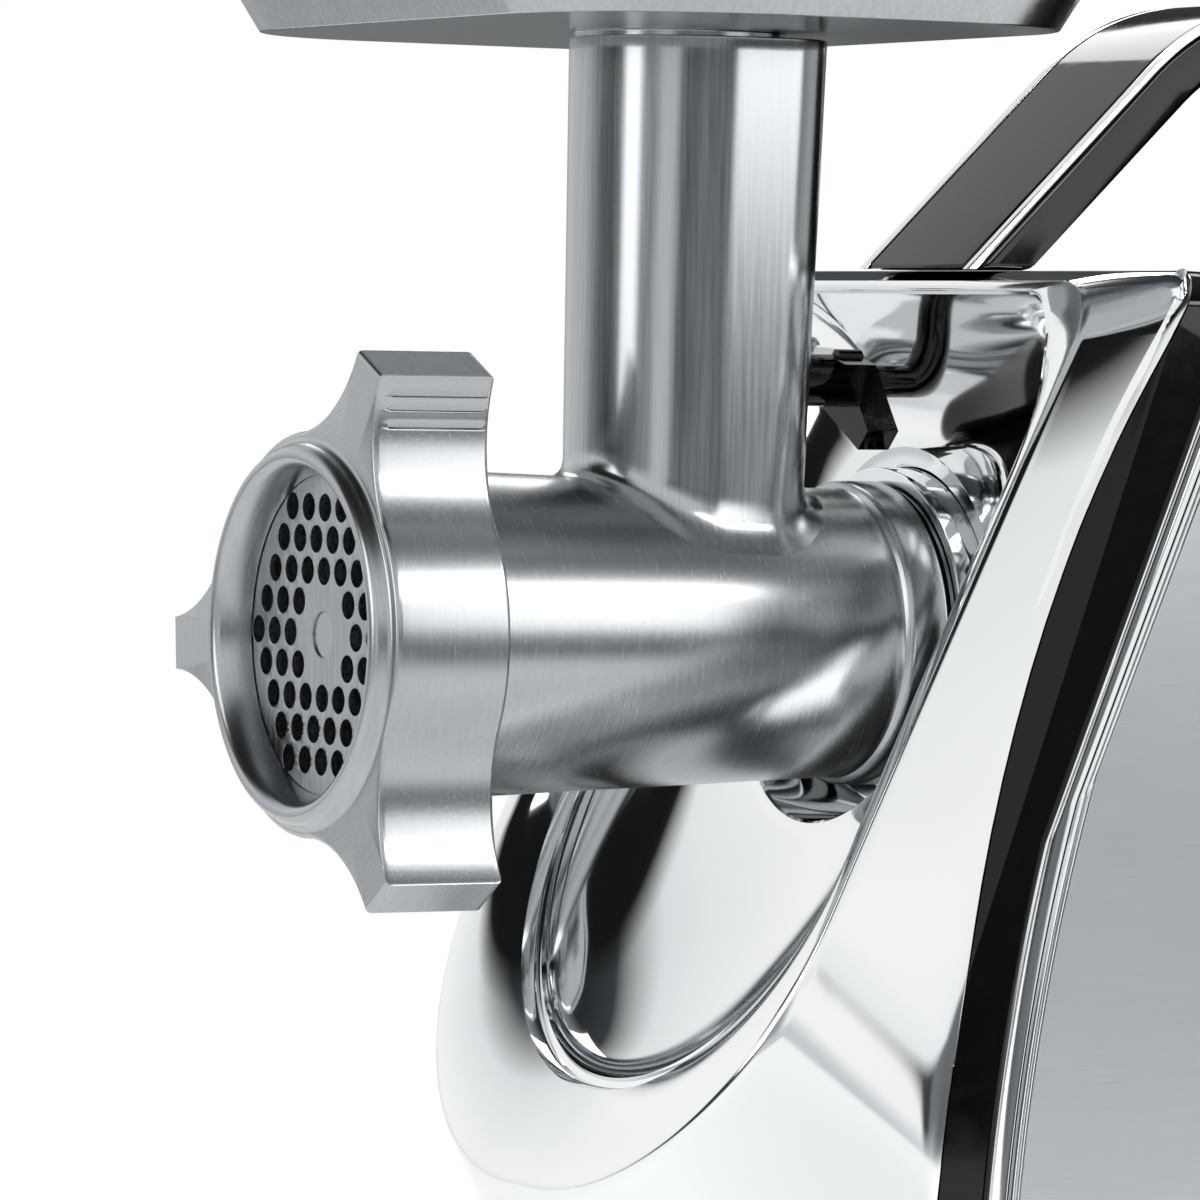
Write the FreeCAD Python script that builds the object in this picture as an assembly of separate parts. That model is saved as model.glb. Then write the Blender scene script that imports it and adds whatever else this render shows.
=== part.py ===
import FreeCAD, Part
import math
import os

V = FreeCAD.Vector

# Driving dimensions, millimetres.  Every shape is drawn about the head axis:
# X across, Y rearward from the mouth of the ring nut, Z up from the axis.
# save() moves the finished shape so that Z = 0 is the table and the middle is the origin.
axis_height = 150.0
feet_centre = 205.0
run_gap = 0.05

plate_radius = 31.0
plate_thick = 6.0
plate_start = 7.1
plate_hole = 2.4
plate_pitch = 6.4

ring_face = 3.5
ring_rear = 25.7
ring_tip = 53.0
ring_tip_width = 9.4
ring_waist = 35.5
ring_mouth = 28.0
ring_lip = 33.6
ring_thread = plate_radius + 2.4
ring_lobes = (64.0, 184.0, 304.0)

barrel_front = 29.0
barrel_rear = 26.0
barrel_bore = 23.0
collar_start = 110.0
collar_radius = 27.5
spigot_start = 118.0
spigot_end = 139.0
spigot_radius = 26.2
rear_wall = 106.0

tube_centre = 76.2
tube_base = 19.5
tube_top = 21.3
tube_height = 106.0
tube_bore = 17.3

body_half = 78.0
body_top = 66.0
foot_height = 8.0
body_bottom = foot_height - axis_height
body_rear = 345.0
gland_reach = 13.0
wall = 3.0
front_lean = math.atan(0.476)
front_zero = 94.3
ridge_half = 65.0
ridge_top = 64.0
ridge_bottom = -98.0
lip_inset = 7.0
dish_half = 53.0
dish_depth = 17.5
dish_low = -76.0
dish_high = 62.5
corner_round = 8.0
panel_round = 12.0
band_radius = 377.0
band_centre = (463.0, -125.0)
trim_width = 7.0
panel_back = 16.0
panel_thick = 1.6
panel_low = -128.0
panel_high = 51.0
panel_rear = 328.0

gear_front = 158.0
gear_wall = 3.0
pressure = math.radians(25.0)
stage_out = (12, 66, 1.5)
stage_in = (12, 84, 1.0)
idler_turn = math.radians(-115.3)
motor_turn = math.radians(-55.0)
stator_radius = 40.0
rotor_radius = 21.0
stack_start = 222.0
stack_end = 272.0

handle_half = 19.5
handle_thick = 9.5
handle_edge = 2.4
button_radius = 9.0
knob_place = (-22.0, 45.5)
knob_back = 127.0

out_centre = (stage_out[0] + stage_out[1]) * stage_out[2] / 2.0
in_centre = (stage_in[0] + stage_in[1]) * stage_in[2] / 2.0
idler_x = out_centre * math.cos(idler_turn)
idler_z = out_centre * math.sin(idler_turn)
motor_x = idler_x + in_centre * math.cos(motor_turn)
motor_z = idler_z + in_centre * math.sin(motor_turn)


def save(name, shape):
    os.makedirs("parts", exist_ok=True)
    placed = shape.copy()
    placed.translate(V(0, -(body_rear + gland_reach) / 2.0, axis_height))
    placed.exportStep("parts/" + name + ".step")


def rod(radius, start, end, x=0.0, z=0.0):
    return Part.makeCylinder(radius, end - start, V(x, start, z), V(0, 1, 0))


def tube(outer, inner, start, end, x=0.0, z=0.0):
    return rod(outer, start, end, x, z).cut(rod(inner, start - 1, end + 1, x, z))


def box(x0, x1, y0, y1, z0, z1):
    return Part.makeBox(x1 - x0, y1 - y0, z1 - z0, V(x0, y0, z0))


def fused(shapes):
    whole = shapes[0]
    for shape in shapes[1:]:
        whole = whole.fuse(shape)
    return whole.removeSplitter()


def polar(radius, angle, y=0.0):
    turn = math.radians(angle)
    return V(radius * math.cos(turn), y, radius * math.sin(turn))


def turned(points):
    # A solid turned about the head axis from (radius, y) corners.
    wire = Part.makePolygon([V(r, y, 0) for r, y in points + points[:1]])
    return Part.Face(wire).revolve(V(0, 0, 0), V(0, 1, 0), 360)


def prism(points, start, end):
    # A straight prism along Y from (x, z) corners.
    wire = Part.makePolygon([V(x, start, z) for x, z in points + points[:1]])
    return Part.Face(wire).extrude(V(0, end - start, 0))


def rounded(points, radii, half):
    # A profile of (y, z) corners with rounded corners, extruded to both sides.
    count = len(points)
    arcs = []
    for i in range(count):
        here = V(0, points[i][0], points[i][1])
        back = V(0, points[i - 1][0], points[i - 1][1]) - here
        ahead = V(0, points[(i + 1) % count][0], points[(i + 1) % count][1]) - here
        back.normalize()
        ahead.normalize()
        opening = back.getAngle(ahead)
        reach = radii[i] / math.tan(opening / 2.0)
        middle = back + ahead
        middle.normalize()
        depth = radii[i] / math.sin(opening / 2.0) - radii[i]
        arcs.append((here + back * reach, here + middle * depth, here + ahead * reach))
    edges = []
    for i in range(count):
        first, mid, last = arcs[i]
        edges.append(Part.Arc(first, mid, last).toShape())
        edges.append(Part.makeLine(last, arcs[(i + 1) % count][0]))
    face = Part.Face(Part.Wire(edges))
    face.translate(V(-half, 0, 0))
    return face.extrude(V(2 * half, 0, 0))


def outline(half, low, high, low_round, high_round):
    # An upright rounded rectangle in the XZ plane made of eight edges.
    corners = [(half, low, low_round, -90), (half, high, high_round, 0),
               (-half, high, high_round, 90), (-half, low, low_round, 180)]
    arcs = []
    for x, z, r, begin in corners:
        centre = V(x - math.copysign(r, x), 0, z + (r if z == low else -r))
        arcs.append([centre + polar(r, begin + step) for step in (0, 45, 90)])
    edges = []
    for i in range(4):
        edges.append(Part.Arc(*arcs[i]).toShape())
        edges.append(Part.makeLine(arcs[i][2], arcs[(i + 1) % 4][0]))
    return Part.Wire(edges)


# Cutting head

def make_ring():
    half = math.degrees(math.atan(ring_tip_width / 2.0 / ring_tip))
    corner = math.hypot(ring_tip, ring_tip_width / 2.0)
    edges = []
    for lobe in ring_lobes:
        start = polar(corner, lobe - half, ring_face)
        end = polar(corner, lobe + half, ring_face)
        mid = polar(41.3, lobe + 12, ring_face)
        foot = polar(ring_waist, lobe + 34, ring_face)
        next_foot = polar(ring_waist, lobe + 86, ring_face)
        next_mid = polar(41.3, lobe + 108, ring_face)
        next_start = polar(corner, lobe + 120 - half, ring_face)
        edges.append(Part.makeLine(start, end))
        edges.append(Part.Arc(end, mid, foot).toShape())
        edges.append(Part.Arc(foot, polar(ring_waist, lobe + 60, ring_face), next_foot).toShape())
        edges.append(Part.Arc(next_foot, next_mid, next_start).toShape())
    body = Part.Face(Part.Wire(edges)).extrude(V(0, ring_rear - ring_face, 0))
    lip = turned([(ring_mouth + 0.5, 5), (ring_mouth + 1.8, 0.6), (ring_mouth + 3.0, 0),
                  (ring_lip - 1.4, 1.2), (ring_lip, ring_face), (ring_lip, 5)])
    mouth = turned([(0, -1), (ring_mouth + 1.8, -1), (ring_mouth + 1.8, 0.6),
                    (ring_mouth, plate_start - 0.3), (ring_mouth, plate_start - 0.1),
                    (ring_thread, plate_start - 0.1), (ring_thread, ring_rear + 1),
                    (0, ring_rear + 1)])
    ring = body.fuse(lip).cut(mouth)
    for lobe in ring_lobes:
        for reach in (46.6, 48.8, 51.0):
            turn = lobe - 5.6 - (51.4 - reach) * 0.42
            spot = polar(reach, turn)
            ring = ring.cut(rod(0.45, ring_face + 3, ring_rear + 1, spot.x, spot.z))
    return ring


def make_plate():
    plate = rod(plate_radius, plate_start, plate_start + plate_thick)
    holes = [rod(4.0 + run_gap, 0, 30)]
    for row in range(-5, 6):
        for column in range(-6, 7):
            x = (column + 0.5 * (row % 2)) * plate_pitch
            z = row * plate_pitch * math.sqrt(3) / 2
            if 7.5 < math.hypot(x, z) < plate_radius - plate_hole - 2.2:
                holes.append(rod(plate_hole, 0, 30, x, z))
    notch = box(-1.8, 1.8, 0, 30, -plate_radius - 1, -plate_radius + 2.2)
    return plate.cut(Part.makeCompound(holes)).cut(notch)


def make_key():
    start = plate_start + 3.1
    return box(-1.5, 1.5, start, plate_start + plate_thick, -plate_radius,
               -plate_radius + 2.0)


def make_knife():
    start = plate_start + plate_thick + 0.15
    blades = []
    for i in range(4):
        arm = [polar(7, 90 * i - 50), polar(25, 90 * i - 13), polar(25, 90 * i + 2),
               polar(7, 90 * i + 40)]
        blades.append(prism([(p.x, p.z) for p in arm], start, start + 5))
    knife = fused([rod(9, start, start + 6)] + blades)
    return knife.cut(box(-4.15, 4.15, start - 1, start + 8, -4.15, 4.15))


def make_auger():
    front = plate_start + plate_thick + 6.4
    core = turned([(0, front), (7, front), (7, front + 6), (11, rear_wall - 8),
                   (21, rear_wall - 5), (21, rear_wall - 0.6), (8, rear_wall - 0.6),
                   (8, 126), (0, 126)])
    square = box(-4, 4, plate_start + plate_thick + 0.1, front, -4, 4)
    pin = rod(4.0, plate_start + 0.4, plate_start + plate_thick + 0.1)
    tang = prism([(6 / math.cos(math.pi / 6) * math.cos(math.pi / 3 * i),
                   6 / math.cos(math.pi / 6) * math.sin(math.pi / 3 * i)) for i in range(6)],
                 126, gear_front - 4)
    pitch = 27.0
    length = rear_wall - 8 - front - 4
    path = Part.makeHelix(pitch, length, 9.0)
    blade = Part.makePolygon([V(5, 0, -2.6), V(22.2, 0, -1.0), V(22.2, 0, 1.0), V(5, 0, 2.6),
                              V(5, 0, -2.6)])
    flight = Part.Wire(path.Edges).makePipeShell([blade], True, True)
    flight.rotate(V(0, 0, 0), V(1, 0, 0), -90)
    flight.translate(V(0, front + 3.2, 0))
    return core.fuse([square, pin, tang, flight])


def tube_section(half, centre, z):
    # Round in front and squared behind, with large rear corners.
    corner = 0.56 * half
    far = centre + half
    slant = corner * (1 - math.sqrt(0.5))
    edges = [Part.Arc(V(-half, centre, z), V(0, centre - half, z), V(half, centre, z)),
             Part.LineSegment(V(half, centre, z), V(half, far - corner, z)),
             Part.Arc(V(half, far - corner, z), V(half - slant, far - slant, z),
                      V(half - corner, far, z)),
             Part.LineSegment(V(half - corner, far, z), V(corner - half, far, z)),
             Part.Arc(V(corner - half, far, z), V(slant - half, far - slant, z),
                      V(-half, far - corner, z)),
             Part.LineSegment(V(-half, far - corner, z), V(-half, centre, z))]
    return Part.Wire([edge.toShape() for edge in edges])


def make_head():
    nose = plate_radius + 2.2
    outside = turned([(0, plate_start + 3), (nose, plate_start + 3), (nose, 24.6),
                      (barrel_front, 26.5), (barrel_rear, collar_start),
                      (collar_radius, collar_start + 1), (collar_radius, spigot_start),
                      (spigot_radius, spigot_start), (spigot_radius, spigot_end),
                      (0, spigot_end)])
    shift = tube_top - tube_base
    feed = Part.makeLoft([tube_section(tube_base, tube_centre, 0),
                          tube_section(tube_top, tube_centre + shift, tube_height)],
                         True, True)
    whole = outside.fuse(feed)
    seat = plate_start + plate_thick
    inside = turned([(0, 0), (plate_radius + 0.1, 0), (plate_radius + 0.1, seat + 0.1),
                     (27, seat + 0.1), (27, seat + 7), (barrel_bore, seat + 12),
                     (barrel_bore, rear_wall), (12.0, rear_wall), (12.0, 160), (0, 160)])
    throat = Part.makeCylinder(tube_bore, tube_height + 5, V(0, tube_centre, 0), V(0, 0, 1))
    lead = Part.makeCylinder(tube_bore + 1.6, 12, V(0, tube_centre, tube_height - 10.0),
                             V(0, 0, 1))
    return whole.cut(inside).cut(throat).cut(lead)


def make_bush():
    return tube(11.98, 8.0 + run_gap, rear_wall, 126)


# Tray and pusher

def make_tray():
    centre = tube_centre
    rim = tube_height + 26.0
    floor = tube_height + 1.0
    half_x, half_y = 92.0, 66.0

    def slab(half_a, half_b, radius, z):
        wire = outline(half_a, -half_b, half_b, radius, radius)
        wire.rotate(V(0, 0, 0), V(1, 0, 0), 90)
        wire.translate(V(0, centre - 6, z))
        return wire
    outer = Part.makeLoft([slab(half_x - 14, half_y - 14, 34, floor),
                           slab(half_x, half_y, 44, rim)], True, True)
    inner = Part.makeLoft([slab(half_x - 15.5, half_y - 15.5, 33, floor + 1.5),
                           slab(half_x - 1.2, half_y - 1.2, 43, rim + 0.1)], True, True)
    lip = Part.Face(slab(half_x + 3, half_y + 3, 47, rim - 1.5)).extrude(V(0, 0, 1.5))
    neck = Part.makeCylinder(tube_bore + 1.5, 11.0, V(0, centre, floor - 10), V(0, 0, 1))
    hole = Part.makeCylinder(tube_bore, 60, V(0, centre, floor - 20), V(0, 0, 1))
    return outer.fuse(lip).cut(inner).fuse(neck).cut(hole)


def make_pusher():
    base = 40.0
    rest = tube_height + 2.6
    profile = [(0, base), (14.5, base), (16.7, base + 3), (16.7, rest), (25, rest),
               (25, rest + 4), (20, rest + 7), (16, rest + 26), (18, rest + 34), (15, rest + 38),
               (0, rest + 38)]
    wire = Part.makePolygon([V(r, 0, z) for r, z in profile + profile[:1]])
    stick = Part.Face(wire).revolve(V(0, 0, 0), V(0, 0, 1), 360)
    stick.translate(V(0, tube_centre, 0))
    return stick


# Body shells

def body_blank(shrink):
    # The whole body: a lofted nose that swells from the oval ridge, cut to the box of the body.
    lean = math.degrees(front_lean)
    stretch = 1.0 / math.cos(front_lean)
    ridge = outline(ridge_half - shrink, (ridge_bottom + shrink) * stretch,
                    (ridge_top - shrink) * stretch, 60 - shrink, 12)
    ridge.rotate(V(0, 0, 0), V(1, 0, 0), -lean)
    ridge.translate(V(0, front_zero + shrink, 0))
    back = outline(100 - shrink, -176 + shrink, 76 - shrink, 70, 16)
    back.rotate(V(0, 0, 0), V(1, 0, 0), -13)
    back.translate(V(0, 138 + shrink, 0))
    nose = Part.makeLoft([ridge, back], True, True)
    rear = body_rear - shrink
    frame = outline(body_half - shrink, body_bottom + shrink, body_top - shrink,
                    14 - shrink, corner_round - shrink / 2)
    long = Part.Face(frame).extrude(V(0, rear, 0))
    side = rounded([(150, -260), (150, 140), (rear, 110), (rear, -260)], [5, 5, 5, 5], 120)
    slope = rounded([(20, -200), (20, body_top - shrink), (138, body_top - shrink),
                     (rear, body_top - shrink - 11), (rear, -200)], [5, 5, 60, 22, 5], 120)
    behind = box(-120, 120, 138 + shrink, rear + 40, -260, 160)
    behind.rotate(V(0, 138 + shrink, 0), V(1, 0, 0), -13)
    tail = side.fuse(behind)
    return nose.fuse(tail).common(long).common(slope)


def capsule(grow):
    # The oval hollow in the front: two half ellipsoids joined by an elliptic cylinder.
    low = dish_low / math.cos(front_lean)
    high = dish_high / math.cos(front_lean)
    low_reach = 58.0
    high_reach = 20.0
    pieces = []
    for centre, reach in ((low + low_reach, low_reach), (high - high_reach, high_reach)):
        ball = Part.makeSphere(1.0)
        scale = FreeCAD.Matrix()
        scale.A11 = dish_half + grow
        scale.A22 = dish_depth + grow
        scale.A33 = reach + grow
        ball = ball.transformGeometry(scale)
        ball.translate(V(0, 0, centre))
        pieces.append(ball)
    curve = Part.Ellipse(V(0, 0, 0), dish_half + grow, dish_depth + grow).toShape()
    face = Part.Face(Part.Wire(curve))
    middle = face.extrude(V(0, 0, high - high_reach - low - low_reach))
    middle.translate(V(0, 0, low + low_reach))
    whole = pieces[0].fuse([pieces[1], middle])
    whole.rotate(V(0, 0, 0), V(1, 0, 0), -math.degrees(front_lean))
    whole.translate(V(0, front_zero + lip_inset / math.cos(front_lean), 0))
    return whole


def lip_cut():
    # The sloping lip between the oval ridge and the edge of the hollow.
    stretch = 1.0 / math.cos(front_lean)
    ridge = outline(ridge_half - 1.2, (ridge_bottom + 1.2) * stretch,
                    (ridge_top - 1.2) * stretch, 58.8, 11)
    edge = outline(dish_half, dish_low * stretch, dish_high * stretch, 50, 11)
    edge.translate(V(0, lip_inset, 0))
    cut = Part.makeLoft([ridge, edge], True, True)
    cut.rotate(V(0, 0, 0), V(1, 0, 0), -math.degrees(front_lean))
    cut.translate(V(0, front_zero, 0))
    return cut


def behind_arc(offset):
    # Everything behind the curved joint line of the side, moved back by the offset.
    y, z = band_centre
    return Part.makeCylinder(band_radius - offset, 400, V(-200, y, z), V(1, 0, 0))


def side_region(offset, grow):
    # The flat of the side: curved in front, sloping on top, with rounded corners.
    low = panel_low - grow
    high = panel_high + grow
    back = panel_rear + grow
    y, z = band_centre
    radius = band_radius - offset
    top_front = y - math.sqrt(radius ** 2 - (high - z) ** 2)
    low_front = y - math.sqrt(radius ** 2 - (low - z) ** 2)
    drop = (back - top_front) * math.tan(math.radians(3))
    corners = rounded([(low_front - 30, low), (top_front, high), (back, high - drop),
                       (back, low)], [2, panel_round + grow, panel_round + grow,
                                      panel_round + grow], 200)
    return corners.common(behind_arc(offset))


def make_fascia(blank, inner):
    # The front shell carries the hollow's own wall, which runs on behind the joint line.
    behind_lip = lip_cut()
    behind_lip.translate(V(0, wall * math.cos(front_lean), -wall * math.sin(front_lean)))
    hollow = inner.cut(behind_lip)
    front = blank.cut(behind_arc(-0.1)).cut(hollow)
    lining = capsule(wall).cut(capsule(0)).common(blank)
    pocket = rod(37.0, 90, 128).common(blank)
    shell = front.fuse([lining, pocket]).cut([capsule(0), lip_cut()]).cut(rod(34.0, 60, 125))
    knob = rod(3.3, 60, 200, knob_place[0], knob_place[1])
    return shell.cut(rod(30.2, 60, 200)).cut(knob).Solids


def side_plate(outer_offset, grow, inner_x, outer_x, side):
    region = side_region(outer_offset, grow)
    slab = box(inner_x, outer_x, 0, 400, -200, 200)
    if side < 0:
        slab = box(-outer_x, -inner_x, 0, 400, -200, 200)
    return region.common(slab)


def make_housing(blank, inner):
    shell = blank.common(behind_arc(0)).cut(inner)
    for side in (-1, 1):
        shell = shell.cut(side_plate(panel_back - trim_width, trim_width,
                                     body_half - panel_thick, body_half + 5, side))
    shell = shell.cut(box(-64, 64, 128, body_rear - 12, body_bottom - 1, body_bottom + 4))
    shell = shell.cut(rod(6.2, body_rear - 10, body_rear + 10, 45, -118))
    for z in button_heights():
        shell = shell.cut(cross_rod(button_radius + 1.5, 60, 100, z))
    shell = shell.cut([capsule(wall), lip_cut()])
    return max(shell.Solids, key=lambda solid: solid.Volume)


def button_heights():
    return (-20.0, -52.0)


def cross_rod(radius, start, end, z, y=302.0):
    return Part.makeCylinder(radius, end - start, V(start, y, z), V(1, 0, 0))


def make_panel(side):
    panel = side_plate(panel_back, 0, body_half - panel_thick, body_half + 0.4, side)
    if side > 0:
        for z in button_heights():
            panel = panel.cut(cross_rod(button_radius + 1.5, 60, 100, z))
    return panel


def make_trim(side):
    back = body_half - panel_thick
    outer = side_plate(panel_back - trim_width, trim_width, back, body_half + 1.0, side)
    groove = side_plate(panel_back - 0.6 * trim_width, 0.6 * trim_width, body_half + 0.3,
                        body_half + 5, side)
    ridge = side_plate(panel_back - 0.4 * trim_width, 0.4 * trim_width, back, body_half + 5, side)
    core = side_plate(panel_back, 0, 0, body_half + 5, side)
    return outer.cut(groove.cut(ridge)).cut(core)


def make_base():
    base = box(-63.8, 63.8, 128.2, body_rear - 12.2, body_bottom, body_bottom + 3.8)
    slots = [box(-30, 30, y, y + 3, body_bottom - 1, body_bottom + 5)
             for y in range(290, 326, 7)]
    saddle = box(-24, 24, stack_start + 6, stack_end - 6, body_bottom + 3.8, motor_z - 25)
    saddle.translate(V(motor_x, 0, 0))
    saddle = saddle.cut(rod(stator_radius + 0.02, stack_start, stack_end, motor_x, motor_z))
    block = box(idler_x - 16, idler_x + 16, gear_front + 6, gear_front + 30, body_bottom + 3.8,
                idler_z - 40)
    block = block.cut(gearcase(3.1, gear_front, gear_front + 60))
    base = base.cut(Part.makeCompound(slots)).fuse([saddle, block])
    for x, y in foot_places():
        base = base.cut(Part.makeCylinder(1.6, 20, V(x, y, body_bottom - 5), V(0, 0, 1)))
    return base


def foot_places():
    return [(x, feet_centre + y) for x in (-52.0, 52.0) for y in (-62.0, 112.0)]


def make_feet():
    feet = []
    for x, y in foot_places():
        foot = Part.makeCone(9.0, 11.0, foot_height, V(x, y, -axis_height), V(0, 0, 1))
        hole = Part.makeCylinder(3.2, 5.0, V(x, y, -axis_height), V(0, 0, 1))
        stem = Part.makeCylinder(1.7, 20, V(x, y, -axis_height), V(0, 0, 1))
        feet.append(foot.cut(hole).cut(stem))
    return Part.makeCompound(feet)


def make_foot_screws():
    screws = []
    for x, y in foot_places():
        head = Part.makeCylinder(3.0, 2.0, V(x, y, -axis_height + 3.0), V(0, 0, 1))
        stem = Part.makeCylinder(1.55, 9.0, V(x, y, -axis_height + 4.5), V(0, 0, 1))
        drive = box(x - 2.2, x + 2.2, y - 0.4, y + 0.4, -axis_height + 2, -axis_height + 4)
        screws.append(head.fuse(stem).cut(drive))
    return Part.makeCompound(screws)


def handle_profile(inset, half):
    top = 118.0 - inset
    low = body_top - 14.0
    points = [(111 + 1.35 * inset, low), (179 + 0.45 * inset, top), (262 - 0.45 * inset, top - 6),
              (330 - 1.25 * inset, low - 14)]
    return rounded(points, [4, 46 - inset, 46 - inset, 4], half)


def handle_cut(whole, inner, blank):
    under = box(-50, 50, 0, 140, -50, body_top)
    return whole.cut([inner, blank, under]).Solids


def make_handle(blank):
    crown = handle_profile(0, handle_half - handle_edge)
    whole = handle_profile(1.3, handle_half).fuse(crown)
    hollow = handle_profile(handle_thick, handle_half + 5)
    return max(handle_cut(whole, hollow, blank), key=lambda solid: solid.Volume)


def make_handle_trim(blank):
    # One thin strip along each outer edge of the handle.
    middle = box(handle_edge - handle_half, handle_half - handle_edge, 0, 400, 0, 200)
    whole = handle_profile(0, handle_half).cut(middle)
    strips = handle_cut(whole, handle_profile(1.3, handle_half + 5), blank)
    return Part.makeCompound(sorted(strips, key=lambda solid: -solid.Volume)[:2])


# Coupling, gears and motor

def make_socket_ring():
    ring = tube(30.0, spigot_radius + 0.4, 119.0, 134.0)
    return ring.cut(turned([(29.0, 118), (31, 118), (31, 120)]))


def make_head_socket():
    outer = fused([rod(36.0, 134.0, gear_front), rod(41.0, gear_front - 5, gear_front)])
    outer = outer.cut(capsule(wall))
    return outer.cut(rod(spigot_radius + 0.4, 120, spigot_end + 2)).cut(rod(18.5, 120, 200))


def make_coupling():
    hub = rod(17.0, spigot_end + 1, gear_front - 1.5)
    shaft = rod(9.0, gear_front - 1.5, gear_front + 39)
    hexagon = prism([(6.15 / math.cos(math.pi / 6) * math.cos(math.pi / 3 * i),
                      6.15 / math.cos(math.pi / 6) * math.sin(math.pi / 3 * i))
                     for i in range(6)], spigot_end, gear_front - 3)
    return hub.fuse(shaft).cut(hexagon)


def involute(angle):
    return math.tan(angle) - angle


def gear(teeth, module, start, width, bore, first_tooth, x=0.0, z=0.0):
    # Flat-faced involute teeth, thinned by the backlash at the pitch circle.
    pitch_r = teeth * module / 2.0
    base_r = pitch_r * math.cos(pressure)
    root_r = pitch_r - 1.25 * module
    tip_r = pitch_r + 0.92 * module
    half = math.pi / 2.0 / teeth - 0.07 / pitch_r
    radii = [root_r] + [max(base_r, root_r) + (tip_r - max(base_r, root_r)) * k / 3.0
                        for k in range(4)]
    corners = []
    for i in range(teeth):
        middle = first_tooth + 2 * math.pi * i / teeth
        flank = []
        for r in radii:
            slant = math.acos(min(1.0, base_r / r))
            flank.append((r, half + involute(pressure) - involute(slant)))
        flank[0] = (root_r, flank[1][1] + 0.12 * module / root_r)
        if root_r >= base_r:
            flank.pop(1)
        for r, spread in flank:
            corners.append((x + r * math.cos(middle - spread), z + r * math.sin(middle - spread)))
        for r, spread in reversed(flank):
            corners.append((x + r * math.cos(middle + spread), z + r * math.sin(middle + spread)))
    return prism(corners, start, start + width).cut(rod(bore, start - 1, start + width + 1, x, z))


def make_output_gear():
    teeth = stage_out[1]
    first = idler_turn + math.pi / teeth
    wheel = gear(teeth, stage_out[2], gear_front + 8, 12, 9.0, first)
    rim = tube(40, 17, gear_front + 4, gear_front + 12)
    return wheel.cut(rim)


def make_compound_gear():
    teeth = stage_in[1]
    start = gear_front + 7.5
    small = gear(stage_out[0], stage_out[2], start, 15, 4 + run_gap, idler_turn + math.pi,
                 idler_x, idler_z)
    first = motor_turn + math.pi / teeth
    large = gear(teeth, stage_in[2], start + 15, 8, 4 + run_gap, first, idler_x, idler_z)
    return small.fuse(large).removeSplitter()


def make_motor_pinion():
    return gear(stage_in[0], stage_in[2], gear_front + 21, 10, 2.5, motor_turn + math.pi,
                motor_x, motor_z)


def make_idler_axle():
    return rod(4.0, gear_front, gear_front + 38, idler_x, idler_z)


def gearcase(grow, start, end):
    return fused([rod(51.8 + grow, start, end), rod(43.6 + grow, start, end, idler_x, idler_z),
                  rod(14 + grow, start, end, motor_x, motor_z)])


def make_gearcase():
    start = gear_front + gear_wall
    case = gearcase(3.0, start, gear_front + 39).cut(gearcase(0.6, start - 1, gear_front + 35))
    for x, z, r in ((idler_x, idler_z, 4.0), (motor_x, motor_z, 7.0), (0, 0, 12.0)):
        case = case.cut(rod(r, gear_front, gear_front + 60, x, z))
    for x, z in stud_places():
        case = case.cut(rod(2.0, gear_front + 20, gear_front + 60, x, z))
    return case


def make_gearcase_cover():
    cover = gearcase(3.0, gear_front, gear_front + gear_wall)
    cover = cover.cut(rod(12.0, gear_front - 1, gear_front + 9))
    return cover.cut(rod(4.0, gear_front - 1, gear_front + 9, idler_x, idler_z))


def make_output_bushings():
    front = tube(11.98, 9 + run_gap, gear_front, gear_front + 7)
    rear = tube(11.98, 9 + run_gap, gear_front + 33, gear_front + 39)
    return Part.makeCompound([front, rear])


def stud_places():
    return [(motor_x + 34.5 * math.cos(math.radians(a)),
             motor_z + 34.5 * math.sin(math.radians(a))) for a in (105, 285)]


def make_studs():
    rods = [rod(2.0, gear_front + 35, stack_end + 42, x, z) for x, z in stud_places()]
    sleeves = []
    for x, z in stud_places():
        for start, end in ((gear_front + 39, stack_start), (stack_end, stack_end + 34)):
            sleeves.append(tube(3.4, 2.0, start, end, x, z))
    return [Part.makeCompound(rods), Part.makeCompound(sleeves)]


def make_stator():
    body = rod(stator_radius, stack_start, stack_end, motor_x, motor_z)
    body = body.cut(rod(31.0, stack_start - 1, stack_end + 1, motor_x, motor_z))
    poles = []
    for side in (-1, 1):
        pole = box(-9, 9, stack_start, stack_end, 0, side * 33) if side > 0 else \
            box(-9, 9, stack_start, stack_end, -33, 0)
        shoe = tube(25.0, rotor_radius + 0.6, stack_start, stack_end)
        wedge = prism([(0, 0), (24, 26 * side), (-24, 26 * side)], stack_start, stack_end)
        pole = pole.cut(rod(24.0, stack_start - 1, stack_end + 1)).fuse(shoe.common(wedge))
        pole.translate(V(motor_x, 0, motor_z))
        poles.append(pole)
    poles = [pole.common(rod(33.0, stack_start, stack_end, motor_x, motor_z)) for pole in poles]
    stator = body.fuse(poles).removeSplitter()
    for x, z in stud_places():
        stator = stator.cut(rod(2.0, stack_start - 1, stack_end + 1, x, z))
    return stator


def make_field_coils():
    coils = []
    for side in (-1, 1):
        reach = stack_start - 7
        ring = box(-14, 14, reach, stack_end + 7, 25.3, 28.4)
        ring = ring.cut(box(-9.1, 9.1, stack_start - 0.1, stack_end + 0.1, 20, 40))
        if side < 0:
            ring.rotate(V(0, 0, 0), V(0, 1, 0), 180)
        ring.translate(V(motor_x, 0, motor_z))
        coils.append(ring.common(rod(30.8, 0, 400, motor_x, motor_z)))
    return Part.makeCompound(coils)


def make_rotor_shaft():
    front = rod(2.5, gear_front + 20.5, gear_front + 34, motor_x, motor_z)
    return front.fuse(rod(4.0, gear_front + 34, stack_end + 44, motor_x, motor_z)).removeSplitter()


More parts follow.
